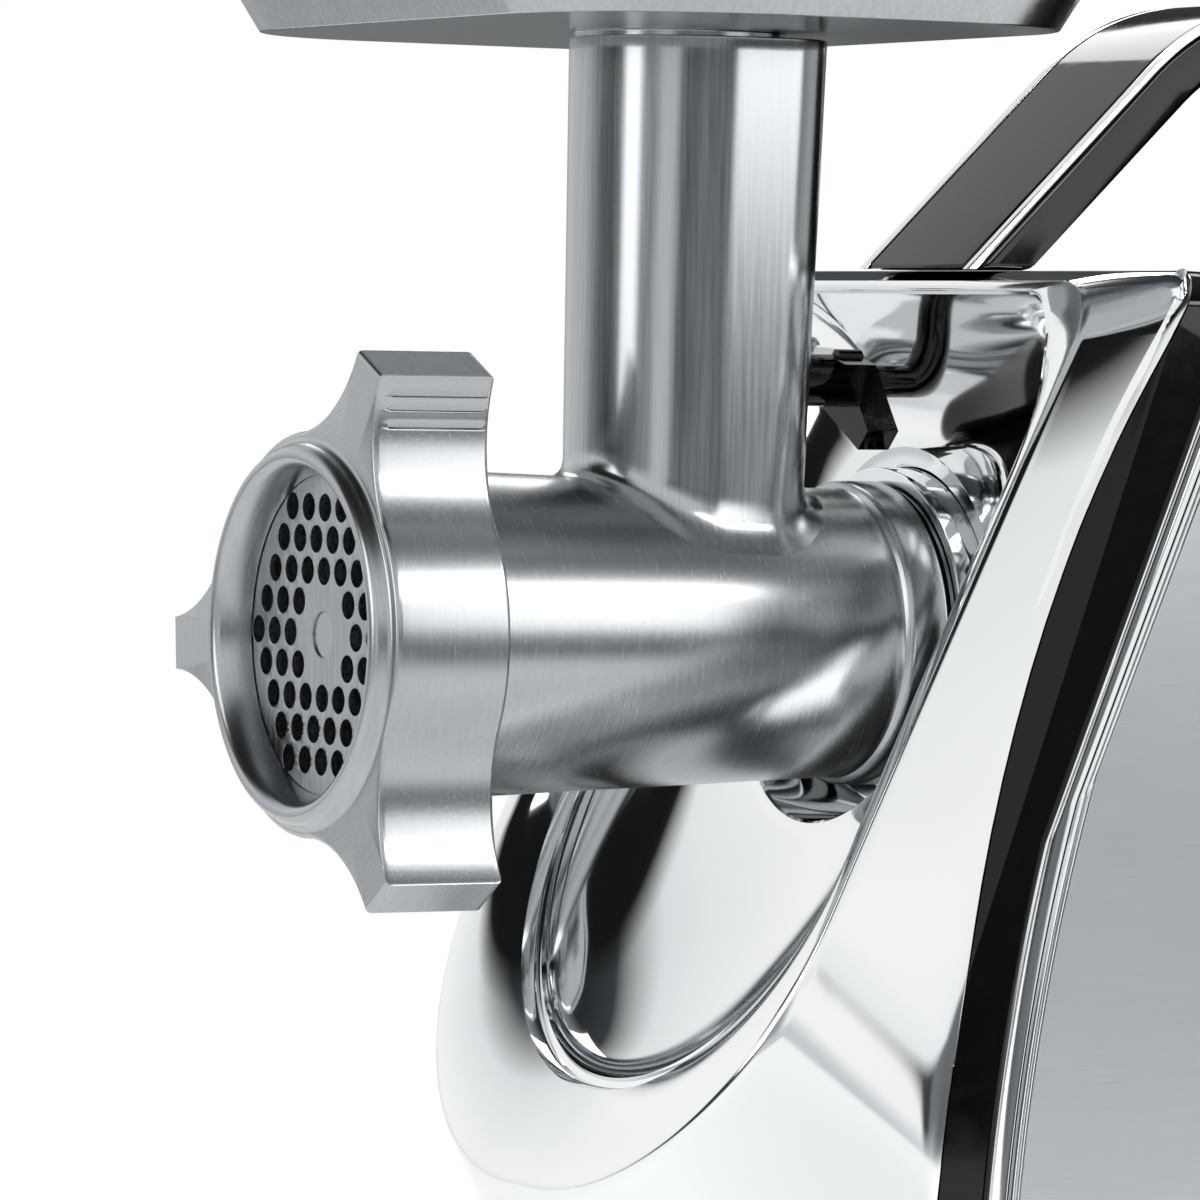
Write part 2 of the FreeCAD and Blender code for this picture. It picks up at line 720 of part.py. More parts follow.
def make_rotor_core():
    core = rod(rotor_radius, stack_start, stack_end, motor_x, motor_z)
    cuts = [rod(4.0, 0, 400, motor_x, motor_z)]
    for i in range(12):
        slot = box(-1.2, 1.2, 0, 400, rotor_radius - 9, rotor_radius + 2)
        slot.rotate(V(0, 0, 0), V(0, 1, 0), 30 * i)
        slot.translate(V(motor_x, 0, motor_z))
        cuts.append(slot)
    return core.cut(cuts)


def make_rotor_coils():
    ends = []
    for start, end in ((stack_start - 7, stack_start), (stack_end, stack_end + 7)):
        ends.append(tube(rotor_radius - 2.5, 4.0, start, end, motor_x, motor_z))
    return Part.makeCompound(ends)


def make_commutator():
    start = stack_end + 11
    drum = tube(11.0, 4.0, start, start + 15, motor_x, motor_z)
    grooves = []
    for i in range(24):
        groove = box(-0.25, 0.25, start + 2, start + 16, 10.2, 12)
        groove.rotate(V(0, 0, 0), V(0, 1, 0), 15 * i)
        groove.translate(V(motor_x, 0, motor_z))
        grooves.append(groove)
    return drum.cut(grooves)


def make_brushes():
    centre = stack_end + 20.0
    brushes = []
    holders = []
    for side in (-1, 1):
        near, far = sorted((side * 11.3, side * 22.0))
        brushes.append(box(near, far, centre - 3.5, centre + 3.5, -2.5, 2.5))
        near, far = sorted((side * 14.0, side * 26.0))
        holder = box(near, far, centre - 5, stack_end + 34, -4.2, 4.2)
        inner = box(near - 0.5, far + 0.5, centre - 3.5, centre + 3.5, -2.5, 2.5)
        cap = sorted((side * 22.0, side * 27.0))
        holders.append(holder.cut(inner.cut(box(cap[0], cap[1], 0, 400, -9, 9))))
    moved = []
    for group in (brushes, holders):
        whole = Part.makeCompound(group)
        whole.translate(V(motor_x, 0, motor_z))
        moved.append(whole)
    return moved


def make_bearings():
    front = tube(6.98, 4 + run_gap, gear_front + 34.2, gear_front + 40, motor_x, motor_z)
    rear = tube(6.98, 4 + run_gap, stack_end + 34, stack_end + 40, motor_x, motor_z)
    return Part.makeCompound([front, rear])


def make_bracket():
    start = stack_end + 34
    bar = box(-9, 9, start, start + 4, -38.5, 38.5)
    bar.rotate(V(0, 0, 0), V(0, 1, 0), -15)
    arms = box(-28, 28, start, start + 4, -6, 6)
    bar = bar.fuse(arms)
    bar.translate(V(motor_x, 0, motor_z))
    bar = bar.cut(rod(7.0, start - 1, start + 20, motor_x, motor_z))
    for x, z in stud_places():
        bar = bar.cut(rod(2.0, start - 1, start + 6, x, z))
    return bar


def make_nuts():
    nuts = []
    start = stack_end + 38
    for x, z in stud_places():
        corners = [(x + 3.6 * math.cos(math.pi / 3 * i), z + 3.6 * math.sin(math.pi / 3 * i))
                   for i in range(6)]
        nuts.append(prism(corners, start, start + 3).cut(rod(2.0, start - 1, start + 4, x, z)))
    return Part.makeCompound(nuts)


def make_fan():
    start = gear_front + 44
    hub = tube(9.0, 4.0, start, start + 10, motor_x, motor_z)
    disc = tube(30.0, 8.0, start, start + 1.5, motor_x, motor_z)
    blades = []
    for i in range(9):
        blade = box(-0.8, 0.8, start, start + 10, 8.0, 29.5)
        blade.rotate(V(0, 0, 14), V(0, 1, 0), 18)
        blade.rotate(V(0, 0, 0), V(0, 1, 0), 40 * i)
        blade.translate(V(motor_x, 0, motor_z))
        blades.append(blade)
    return hub.fuse([disc] + blades).removeSplitter()


# Controls

def make_button(z):
    cap = cross_rod(button_radius - 0.3, body_half - 6, body_half + 3.2, z)
    rim = cross_rod(button_radius + 0.8, body_half - 8, body_half - 6, z)
    stem = cross_rod(3.0, body_half - 11, body_half - 8, z)
    return cap.fuse([rim, stem]).removeSplitter()


def make_bezel():
    rings = []
    for z in button_heights():
        ring = cross_rod(button_radius + 1.5, body_half - 3.6, body_half + 1.0, z)
        rings.append(ring.cut(cross_rod(button_radius, 0, 200, z)))
    return Part.makeCompound(rings)


def make_board():
    start = body_half - 17.5
    board = box(start, start + 1.6, 276, 328, -68, -4)
    parts = []
    for z in button_heights():
        parts.append(box(start + 1.6, start + 3.2, 296, 308, z - 6, z + 6))
    parts.append(box(start - 12, start, 282, 300, -62, -46))
    legs = [box(start + 1.6, body_half - wall, y, y + 3, z, z + 3)
            for y in (277, 324) for z in (-67, -8)]
    return board.fuse(parts + legs).removeSplitter()


def make_gland():
    y0 = body_rear - 3
    gland = fused([rod(6.2, y0 - 1, y0 + 3, 45, -118), rod(9, y0 + 3, y0 + 6, 45, -118),
                   rod(8, y0 - 3, y0 - 0.2, 45, -118),
                   rod(5, y0 + 6, body_rear + gland_reach, 45, -118)])
    return gland.cut(rod(3.4, y0 - 8, y0 + 30, 45, -118))


def make_knob():
    x, z = knob_place
    front = knob_back - 15.0
    barrel = rod(4.85, front + 1, knob_back, x, z).fuse(Part.makeCone(4.0, 4.85, 1.0,
                                                                     V(x, front, z), V(0, 1, 0)))
    wing = prism([(x - 2, z - 4.4), (x + 12, z - 12.5), (x + 15.5, z - 9), (x + 7, z + 3),
                  (x + 2, z + 4.4)], knob_back - 6.5, knob_back)
    stem = rod(3.0, knob_back, 151.0, x, z)
    bump = rod(1.6, knob_back - 5, knob_back, x + 1.0, z + 4.2)
    return fused([barrel, wing, stem, bump])


def make_collar():
    x, z = knob_place
    return tube(5.4, 3.02, 149.0, 151.0, x, z)


def make_knob_spring():
    x, z = knob_place
    path = Part.makeHelix(1.5, 4.4, 4.2)
    ring = Part.Wire(Part.makeCircle(0.35, V(4.2, 0, 0), V(0, 1, 0)))
    coil = Part.Wire(path.Edges).makePipeShell([ring], True, True)
    coil.rotate(V(0, 0, 0), V(0, 0, 1), 45)
    coil.rotate(V(0, 0, 0), V(1, 0, 0), -90)
    coil.translate(V(x, gear_front - 4.75, z))
    return coil


def main():
    blank = body_blank(0)
    inner = body_blank(wall)
    shells = make_fascia(blank, inner)
    save("front_fascia", max(shells, key=lambda solid: solid.Volume))
    save("main_housing", make_housing(blank, inner))
    for name, side in (("left", -1), ("right", 1)):
        save(name + "_side_panel", make_panel(side))
        save(name + "_trim_ring", make_trim(side))
    save("handle_grip", make_handle(blank))
    save("handle_trim", make_handle_trim(blank))
    save("base_plate", make_base())
    save("rubber_feet", make_feet())
    save("foot_screws", make_foot_screws())
    save("ring_nut", make_ring())
    save("hole_plate", make_plate())
    save("plate_key", make_key())
    save("cross_knife", make_knife())
    save("auger_screw", make_auger())
    save("head_casting", make_head())
    save("auger_bush", make_bush())
    save("loading_tray", make_tray())
    save("food_pusher", make_pusher())
    save("socket_ring", make_socket_ring())
    save("head_socket", make_head_socket())
    save("drive_coupling", make_coupling())
    save("output_gear", make_output_gear())
    save("output_bushings", make_output_bushings())
    save("compound_gear", make_compound_gear())
    save("idler_axle", make_idler_axle())
    save("motor_pinion", make_motor_pinion())
    save("gearbox_case", make_gearcase())
    save("gearbox_cover", make_gearcase_cover())
    studs, sleeves = make_studs()
    save("motor_studs", studs)
    save("stud_sleeves", sleeves)
    save("stud_nuts", make_nuts())
    save("motor_stator", make_stator())
    save("field_coils", make_field_coils())
    save("rotor_shaft", make_rotor_shaft())
    save("rotor_core", make_rotor_core())
    save("rotor_coils", make_rotor_coils())
    save("commutator", make_commutator())
    brushes, holders = make_brushes()
    save("carbon_brushes", brushes)
    save("brush_holders", holders)
    save("motor_bearings", make_bearings())
    save("motor_end_bracket", make_bracket())
    save("cooling_fan", make_fan())
    save("power_button", make_button(button_heights()[0]))
    save("reverse_button", make_button(button_heights()[1]))
    save("button_bezels", make_bezel())
    save("control_board", make_board())
    save("cord_gland", make_gland())
    save("release_knob", make_knob())
    save("knob_collar", make_collar())
    save("knob_spring", make_knob_spring())


main()
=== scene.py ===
import bmesh
import bpy
import math
import numpy as np
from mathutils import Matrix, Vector


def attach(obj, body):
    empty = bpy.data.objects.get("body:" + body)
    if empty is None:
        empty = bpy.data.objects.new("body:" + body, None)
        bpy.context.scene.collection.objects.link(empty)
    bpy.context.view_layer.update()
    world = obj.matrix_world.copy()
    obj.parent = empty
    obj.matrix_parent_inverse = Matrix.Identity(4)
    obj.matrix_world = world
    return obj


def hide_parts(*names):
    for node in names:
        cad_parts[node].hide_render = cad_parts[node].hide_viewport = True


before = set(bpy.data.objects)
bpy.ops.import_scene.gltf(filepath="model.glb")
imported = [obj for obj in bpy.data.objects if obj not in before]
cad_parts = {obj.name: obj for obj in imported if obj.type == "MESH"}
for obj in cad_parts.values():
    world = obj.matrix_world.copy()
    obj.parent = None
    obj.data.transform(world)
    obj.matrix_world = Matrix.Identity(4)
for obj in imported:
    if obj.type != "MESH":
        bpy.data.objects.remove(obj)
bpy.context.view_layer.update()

print("frame loaded:", len(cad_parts), "nodes")

mm = 0.001
mouthY = -0.179      # where depth 0 begins, at the ring nut's mouth
axisZ = 0.150        # height of the head's axis over the table


def place(points):
    # x, depth behind the mouth and height over the axis in mm become metres in the frame
    return np.asarray(points, float) * mm + np.array([0.0, mouthY, axisZ])


def hexColour(code):
    # sRGB to linear: c / 12.92 up to 0.04045, above it ((c + 0.055) / 1.055) to the power 2.4
    c = np.array([int(code[i:i + 2], 16) for i in (0, 2, 4)]) / 255.0
    linear = np.where(c <= 0.04045, c / 12.92, ((c + 0.055) / 1.055) ** 2.4)
    return (*linear.tolist(), 1.0)


def addNode(tree, kind, settings=None, links=None):
    # one node with its own properties, its socket values and its links: socket <- (node, output)
    made = tree.nodes.new(kind)
    for key, value in (settings or {}).items():
        if isinstance(key, str) and hasattr(made, key):
            setattr(made, key, value)
        else:
            made.inputs[key].default_value = value
    for key, (source, out) in (links or {}).items():
        tree.links.new(source.outputs[out], made.inputs[key])
    return made


def startMaterial(name):
    made = bpy.data.materials.new(name)
    made.use_nodes = True
    made.node_tree.nodes.clear()
    return made, made.node_tree


def grainNoise(tree, grain, detail=3.0):
    # noise on object coordinates; grain is its size in mm along x, y and z
    stretch = tuple(1.0 / (size * mm) for size in grain)
    where = addNode(tree, "ShaderNodeTexCoord")
    scaled = addNode(tree, "ShaderNodeMapping", {"Scale": stretch}, {"Vector": (where, "Object")})
    return addNode(tree, "ShaderNodeTexNoise", {"Scale": 1.0, "Detail": detail, "Roughness": 0.55},
                   {"Vector": (scaled, "Vector")})


def turnedNoise(tree, perRadian, ringMm, centreZ):
    # noise that runs round an axis along y: coordinates are angle, depth and radius, with
    # rings of ringMm in depth and radius
    perMetre = 1.0 / (ringMm * mm)
    where = addNode(tree, "ShaderNodeTexCoord")
    split = addNode(tree, "ShaderNodeSeparateXYZ", {}, {"Vector": (where, "Object")})
    up = addNode(tree, "ShaderNodeMath", {"operation": "SUBTRACT", 1: centreZ}, {0: (split, "Z")})
    angle = addNode(tree, "ShaderNodeMath", {"operation": "ARCTAN2"},
                    {0: (up, "Value"), 1: (split, "X")})
    flat = addNode(tree, "ShaderNodeCombineXYZ", {}, {"X": (split, "X"), "Y": (up, "Value")})
    radius = addNode(tree, "ShaderNodeVectorMath", {"operation": "LENGTH"}, {0: (flat, "Vector")})
    joined = addNode(tree, "ShaderNodeCombineXYZ", {},
                     {"X": (angle, "Value"), "Y": (split, "Y"), "Z": (radius, "Value")})
    scaled = addNode(tree, "ShaderNodeMapping", {"Scale": (perRadian, perMetre, perMetre)},
                     {"Vector": (joined, "Vector")})
    return addNode(tree, "ShaderNodeTexNoise", {"Scale": 1.0, "Detail": 4.0, "Roughness": 0.6},
                   {"Vector": (scaled, "Vector")})


def surface(name, pattern, tones, roughness, metallic=0.0, bump=0.1, bumpMm=0.05, extra=None):
    # colour, roughness and relief all follow one pattern between two values each
    made, tree = startMaterial(name)
    noise = pattern(tree)
    colour = addNode(tree, "ShaderNodeValToRGB", {}, {"Fac": (noise, "Fac")})
    colour.color_ramp.elements[0].position = 0.3
    colour.color_ramp.elements[0].color = hexColour(tones[0])
    colour.color_ramp.elements[1].position = 0.7
    colour.color_ramp.elements[1].color = hexColour(tones[1])
    rough = addNode(tree, "ShaderNodeMapRange",
                    {"From Min": 0.25, "From Max": 0.75, "To Min": roughness[0],
                     "To Max": roughness[1]}, {"Value": (noise, "Fac")})
    relief = addNode(tree, "ShaderNodeBump", {"Strength": bump, "Distance": bumpMm * mm},
                     {"Height": (noise, "Fac")})
    settings = {"Metallic": metallic}
    settings.update(extra or {})
    shader = addNode(tree, "ShaderNodeBsdfPrincipled", settings,
                     {"Base Color": (colour, "Color"), "Roughness": (rough, "Result"),
                      "Normal": (relief, "Normal")})
    addNode(tree, "ShaderNodeOutputMaterial", {}, {"Surface": (shader, "BSDF")})
    return made


# Satin turned aluminium: fine rings left by the polishing belt, drawn about 0.45 mm apart,
# coarser than the real ones, so that they show.
turnedAluminium = surface("satinTurnedAluminium",
                          lambda t: turnedNoise(t, 7.0, 0.4545, axisZ),
                          ("ABAEB0", "B6B9BB"), (0.24, 0.28), 1.0, 0.025, 0.03)
# Satin brushed aluminium, belt-polished upright: hairs 0.7 mm wide and 25 mm long, drawn wider
# than the real ones so that they show.
brushedAluminium = surface("satinBrushedAluminium",
                           lambda t: grainNoise(t, (0.7143, 0.7143, 25.0), 4.0),
                           ("ABAEB0", "B8BBBD"), (0.17, 0.22), 1.0, 0.035, 0.03)
# Die-cast aluminium left as cast: matt, with a grain of about 1.4 mm.
castAluminium = surface("rawCastAluminium", lambda t: grainNoise(t, (1.429, 1.429, 1.429)),
                        ("9DA1A4", "B4B8BA"), (0.38, 0.55), 1.0, 0.3, 0.08)
# Bright chrome on moulded ABS: mirror-like, with slow waves about 45 mm long.
platedChrome = surface("chromePlatedABS", lambda t: grainNoise(t, (45.45, 45.45, 45.45), 1.0),
                       ("EDEFF0", "F2F4F5"), (0.05, 0.08), 1.0, 0.01, 0.1)
# Gloss black ABS: deep black under a sharp gloss, with faint orange peel 4 mm wide.
glossBlack = surface("glossBlackABS", lambda t: grainNoise(t, (3.846, 3.846, 3.846), 2.0),
                     ("030303", "060607"), (0.05, 0.10), 0.0, 0.05, 0.02,
                     {"Specular IOR Level": 0.3})
# Stainless sheet brushed along its length: hairs about 0.4 mm wide, 17 mm long, drawn wider
# than the real ones so that they show.
brushedSteel = surface("brushedStainlessSheet",
                       lambda t: grainNoise(t, (0.3846, 16.67, 0.3846), 4.0),
                       ("C4C7C9", "C9CCCE"), (0.34, 0.37), 1.0, 0.0, 0.02)
# Ground tool steel of the knife and plate: slightly darker, marks 0.7 mm wide, 11 mm long.
groundSteel = surface("groundToolSteel", lambda t: grainNoise(t, (0.7143, 0.7143, 11.11), 4.0),
                      ("9A9EA2", "B8BCBF"), (0.2, 0.35), 1.0, 0.12, 0.04)
# Turned mild steel for pins, shafts and nuts: tool marks about 0.55 mm apart.
turnedSteel = surface("turnedMildSteel", lambda t: grainNoise(t, (3.333, 0.5556, 3.333)),
                      ("8B8E91", "A5A8AA"), (0.25, 0.4), 1.0, 0.1, 0.04)
# Stamped laminations: dark oxide with a line every half millimetre.
laminatedSteel = surface("laminatedCoreSteel", lambda t: grainNoise(t, (25.0, 0.5, 25.0)),
                         ("4A4D50", "6A6D70"), (0.4, 0.6), 1.0, 0.4, 0.1)
# Enamelled copper wire: warm and glossy, in turns of about 0.67 mm.
copperWire = surface("enamelledCopperWire", lambda t: grainNoise(t, (0.6667, 8.333, 0.6667)),
                     ("8A4A22", "C07A3E"), (0.25, 0.4), 1.0, 0.5, 0.15)
# Oil-filled sintered bronze: matt, speckled about every 0.67 mm.
sinteredBronze = surface("sinteredBronze", lambda t: grainNoise(t, (0.6667, 0.6667, 0.6667)),
                         ("7A5A2C", "A98248"), (0.4, 0.6), 1.0, 0.3, 0.05)
# Spark-textured black ABS: soft sheen over a fine grain of about 0.6 mm.
texturedBlack = surface("sparkTexturedBlackABS",
                        lambda t: grainNoise(t, (0.625, 0.625, 0.625)),
                        ("0C0C0D", "151516"), (0.42, 0.6), 0.0, 0.35, 0.06)
# Moulded rubber: dark and dull, with a grain of about 1.1 mm.
mouldedRubber = surface("mouldedRubber", lambda t: grainNoise(t, (1.111, 1.111, 1.111)),
                        ("101011", "1D1D1E"), (0.7, 0.85), 0.0, 0.3, 0.06)
# Natural nylon: milky and waxy, clouded every 5 mm.
naturalNylon = surface("naturalNylon", lambda t: grainNoise(t, (5.0, 5.0, 5.0)),
                       ("D9D3C2", "E8E3D6"), (0.35, 0.5), 0.0, 0.1, 0.04)
# Pressed carbon: near black with a graphite sheen and a grain of about 0.56 mm.
pressedCarbon = surface("pressedCarbon", lambda t: grainNoise(t, (0.5556, 0.5556, 0.5556)),
                        ("17181A", "2A2B2E"), (0.35, 0.5), 0.0, 0.2, 0.05)
# Solder-masked glass-fibre board: green lacquer over a faint weave of about 1.7 mm.
circuitBoard = surface("solderMaskedBoard", lambda t: grainNoise(t, (1.667, 1.667, 1.667)),
                       ("0F3B22", "1A5A33"), (0.25, 0.4), 0.0, 0.15, 0.05)
print("materials made")

finishes = {
    turnedAluminium: ["auger_screw"],
    castAluminium: ["head_socket", "gearbox_case", "gearbox_cover", "motor_end_bracket"],
    brushedAluminium: ["loading_tray"],
    platedChrome: ["socket_ring", "button_bezels", "handle_trim"],
    glossBlack: ["main_housing", "release_knob", "power_button", "reverse_button",
                 "handle_grip"],
    brushedSteel: ["right_side_panel", "left_side_panel"],
    groundSteel: ["cross_knife", "hole_plate"],
    turnedSteel: ["drive_coupling", "idler_axle", "motor_pinion", "motor_studs", "stud_sleeves",
                  "stud_nuts", "rotor_shaft", "foot_screws", "plate_key", "knob_spring"],
    laminatedSteel: ["motor_stator", "rotor_core"],
    copperWire: ["field_coils", "rotor_coils", "commutator"],
    sinteredBronze: ["output_bushings", "motor_bearings"],
    texturedBlack: ["base_plate", "food_pusher", "cord_gland", "cooling_fan", "brush_holders",
                    "knob_collar"],
    mouldedRubber: ["rubber_feet"],
    naturalNylon: ["auger_bush", "output_gear", "compound_gear"],
    pressedCarbon: ["carbon_brushes"],
    circuitBoard: ["control_board"],
}
bevelMm = {"release_knob": 0.35, "power_button": 0.5, "reverse_button": 0.5,
           "button_bezels": 0.2, "food_pusher": 0.5, "socket_ring": 0.4, "cord_gland": 0.4,
           "rubber_feet": 0.5, "base_plate": 0.3, "loading_tray": 0.25, "hole_plate": 0.15,
           "cross_knife": 0.2, "handle_grip": 1.6, "handle_trim": 0.25,
           "right_side_panel": 0.2, "left_side_panel": 0.2}
dressing = {"weldMm": 0.002, "bevelAngle": 40, "splitAngle": 32}


def sharpen(piece, angle):
    split = piece.modifiers.new("sharpEdges", "EDGE_SPLIT")
    split.split_angle = math.radians(angle)


def dress(node, material):
    # the CAD mesh keeps its vertices; welding, a small bevel and split edges only shade it
    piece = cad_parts[node]
    piece.data.materials.clear()
    piece.data.materials.append(material)
    piece.data.polygons.foreach_set("use_smooth", [True] * len(piece.data.polygons))
    weld = piece.modifiers.new("weld", "WELD")
    weld.merge_threshold = dressing["weldMm"] * mm
    if bevelMm.get(node):
        bevel = piece.modifiers.new("brokenEdge", "BEVEL")
        bevel.width = bevelMm[node] * mm
        bevel.segments = 2
        bevel.limit_method = "ANGLE"
        bevel.angle_limit = math.radians(dressing["bevelAngle"])
    sharpen(piece, dressing["splitAngle"])
    flat = piece.modifiers.new("flatFaces", "WEIGHTED_NORMAL")   # wide faces stay flat
    flat.mode = "FACE_AREA"
    flat.weight = 50


for material, nodes in finishes.items():
    for node in nodes:
        dress(node, material)
print("CAD nodes dressed")


def gridFaces(rows, columns, wrapRows, wrapColumns):
    # quads between neighbouring grid points, rows first, closed where the grid wraps
    r = np.arange(rows if wrapRows else rows - 1)
    c = np.arange(columns if wrapColumns else columns - 1)
    rr, cc = np.meshgrid(r, c, indexing="ij")
    rn = (rr + 1) % rows
    cn = (cc + 1) % columns
    quads = np.stack([rr * columns + cc, rr * columns + cn, rn * columns + cn,
                      rn * columns + cc], axis=-1)
    return quads.reshape(-1, 4)


def makePiece(name, points, faces, material):
    mesh = bpy.data.meshes.new(name)
    mesh.vertices.add(len(points))
    mesh.vertices.foreach_set("co", np.ascontiguousarray(points, float).ravel())
    mesh.loops.add(len(faces) * 4)
    mesh.loops.foreach_set("vertex_index", np.ascontiguousarray(faces, dtype=np.int32).ravel())
    mesh.polygons.add(len(faces))
    mesh.polygons.foreach_set("loop_start", np.arange(len(faces), dtype=np.int32) * 4)
    mesh.polygons.foreach_set("use_smooth", [True] * len(faces))
    mesh.update(calc_edges=True)
    mesh.validate()
    mesh.materials.append(material)
    piece = bpy.data.objects.new(name, mesh)
    bpy.context.scene.collection.objects.link(piece)
    return piece


def tidyMesh(piece, merge=0.004):
    # merges doubled points, then turns all faces outwards
    work = bmesh.new()
    work.from_mesh(piece.data)
    bmesh.ops.remove_doubles(work, verts=work.verts, dist=merge * mm)
    bmesh.ops.recalc_face_normals(work, faces=work.faces)
    work.to_mesh(piece.data)
    work.free()


def seat(piece, body, nodes):
    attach(piece, body)
    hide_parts(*nodes)


# Ring nut
ringNut = {"face": 3.5, "rear": 25.7, "tip": 53.0, "tipWidth": 9.4, "waist": 35.5, "edge": 0.8,
           "lobes": (64.0, 184.0, 304.0), "grooves": (50.1, 47.7, 45.0),
           "groove": 1.25, "grooveHalf": 0.4, "flank": (41.3, 12.0), "waistFrom": 34.0,
           "sharp": 38}


def ringReach(theta):
    # the nut's reach at an angle from the lobe: a flat tip, a concave flank, a round waist
    t = np.abs((np.degrees(theta) - ringNut["lobes"][0] + 60.0) % 120.0 - 60.0)
    half = math.degrees(math.atan(ringNut["tipWidth"] / 2 / ringNut["tip"]))
    flat = ringNut["tip"] / np.cos(np.radians(np.minimum(t, 30.0)))
    corner = math.hypot(ringNut["tip"], ringNut["tipWidth"] / 2)
    a, b, c = [np.array([r * math.cos(math.radians(s)), r * math.sin(math.radians(s))])
               for r, s in ((corner, half), ringNut["flank"],
                            (ringNut["waist"], ringNut["waistFrom"]))]
    m = np.array([b - a, c - a]) * 2
    centre = np.linalg.solve(m, np.array([b @ b - a @ a, c @ c - a @ a]))
    radius = np.linalg.norm(a - centre)
    along = centre[0] * np.cos(np.radians(t)) + centre[1] * np.sin(np.radians(t))
    inside = np.maximum(along ** 2 - centre @ centre + radius ** 2, 0.0)
    flank = along - np.sqrt(inside)
    flank = np.where(t < ringNut["waistFrom"], flank, ringNut["waist"])
    k = ringNut["edge"]
    h = np.clip(0.5 + 0.5 * (flat - flank) / k, 0, 1)
    reach = flat * (1 - h) + flank * h - k * h * (1 - h) * 0.5
    return np.maximum(np.where(t < half * 3, reach, flank), ringNut["waist"])


def buildRing():
    # a closed section of (reach share, depth) carried round the axis; the reach follows ringReach
    base = np.linspace(0, 2 * np.pi, 1081)[:-1]
    extra = [np.radians(lobe) + np.linspace(-0.26, 0.10, 420) for lobe in ringNut["lobes"]]
    theta = np.unique(np.round(np.concatenate([base] + extra) % (2 * np.pi), 6))
    reach = ringReach(theta)
    cut = np.zeros_like(theta)
    for lobe in ringNut["lobes"]:
        side = (theta < math.radians(lobe - 3)) & (theta > math.radians(lobe - 30))
        for spot in ringNut["grooves"]:
            dip = np.exp(-((reach - spot) / ringNut["grooveHalf"]) ** 2)
            cut += np.where(side, ringNut["groove"] * dip, 0.0)
    face, rear = ringNut["face"], ringNut["rear"]
    inner = [(28.0, 6.9), (28.3, 5.2), (28.9, 3.2), (29.5, 1.6), (30.1, 0.7), (30.9, 0.25),
             (31.7, 0.25), (32.4, 0.6), (32.95, 1.3), (33.3, 2.2), (33.6, 3.0), (34.1, 3.45),
             (34.6, 3.5)]
    outer = [(-1.0, face), (-0.5, face + 0.1), (-0.18, face + 0.35), (-0.02, face + 0.8),
             (0.0, face + 1.3), (0.0, face + 2.6), (0.0, face + 3.2), (0.0, rear - 1.2),
             (-0.02, rear - 0.8), (-0.18, rear - 0.35), (-0.5, rear - 0.1), (-1.0, rear)]
    bore = [(33.6, rear), (33.4, rear - 0.3), (33.4, 7.0), (28.4, 6.98)]
    rows = [(np.full_like(theta, r), d) for r, d in inner]
    for share, d in outer:
        deep = 1.0 if face + 3.0 < d < rear - 1.0 else 0.0   # the grooves stop short of the faces
        rows.append((reach + share - cut * deep, d))
    rows += [(np.full_like(theta, r), d) for r, d in bore]
    grid = np.stack([np.stack([r * np.cos(theta), np.full_like(theta, d), r * np.sin(theta)], -1)
                     for r, d in rows])
    ring = makePiece("ringNutCasting", place(grid.reshape(-1, 3)),
                     gridFaces(len(rows), len(theta), True, True), turnedAluminium)
    tidyMesh(ring)
    sharpen(ring, ringNut["sharp"])
    seat(ring, "ring", ["ring_nut"])


buildRing()
print("ring nut made")

# Head: the turned barrel and the flat-sided feed tube that flares into it
head = {"nose": 33.2, "noseStart": 10.1, "noseEnd": 24.6, "front": 29.0, "rear": 26.0,
        "collar": 27.5, "collarStart": 110.0, "spigotStart": 118.0, "spigot": 26.2,
        "spigotEnd": 139.0, "bore": 23.0, "taperStart": 26.5, "tubeCentre": 76.2,
        "tubeBase": 19.5, "tubeTop": 21.3, "tubeHeight": 106.0, "tubeBore": 17.3, "footBore": 17.6,
        "boreFoot": 10.0, "fillet": 4.5, "corner": 0.56, "sharp": 32}


def barrelRadius(depth):
    # the barrel narrows evenly from its front to the collar
    share = (depth - head["taperStart"]) / (head["collarStart"] - head["taperStart"])
    return head["front"] + (head["rear"] - head["front"]) * np.clip(share, 0, 1)


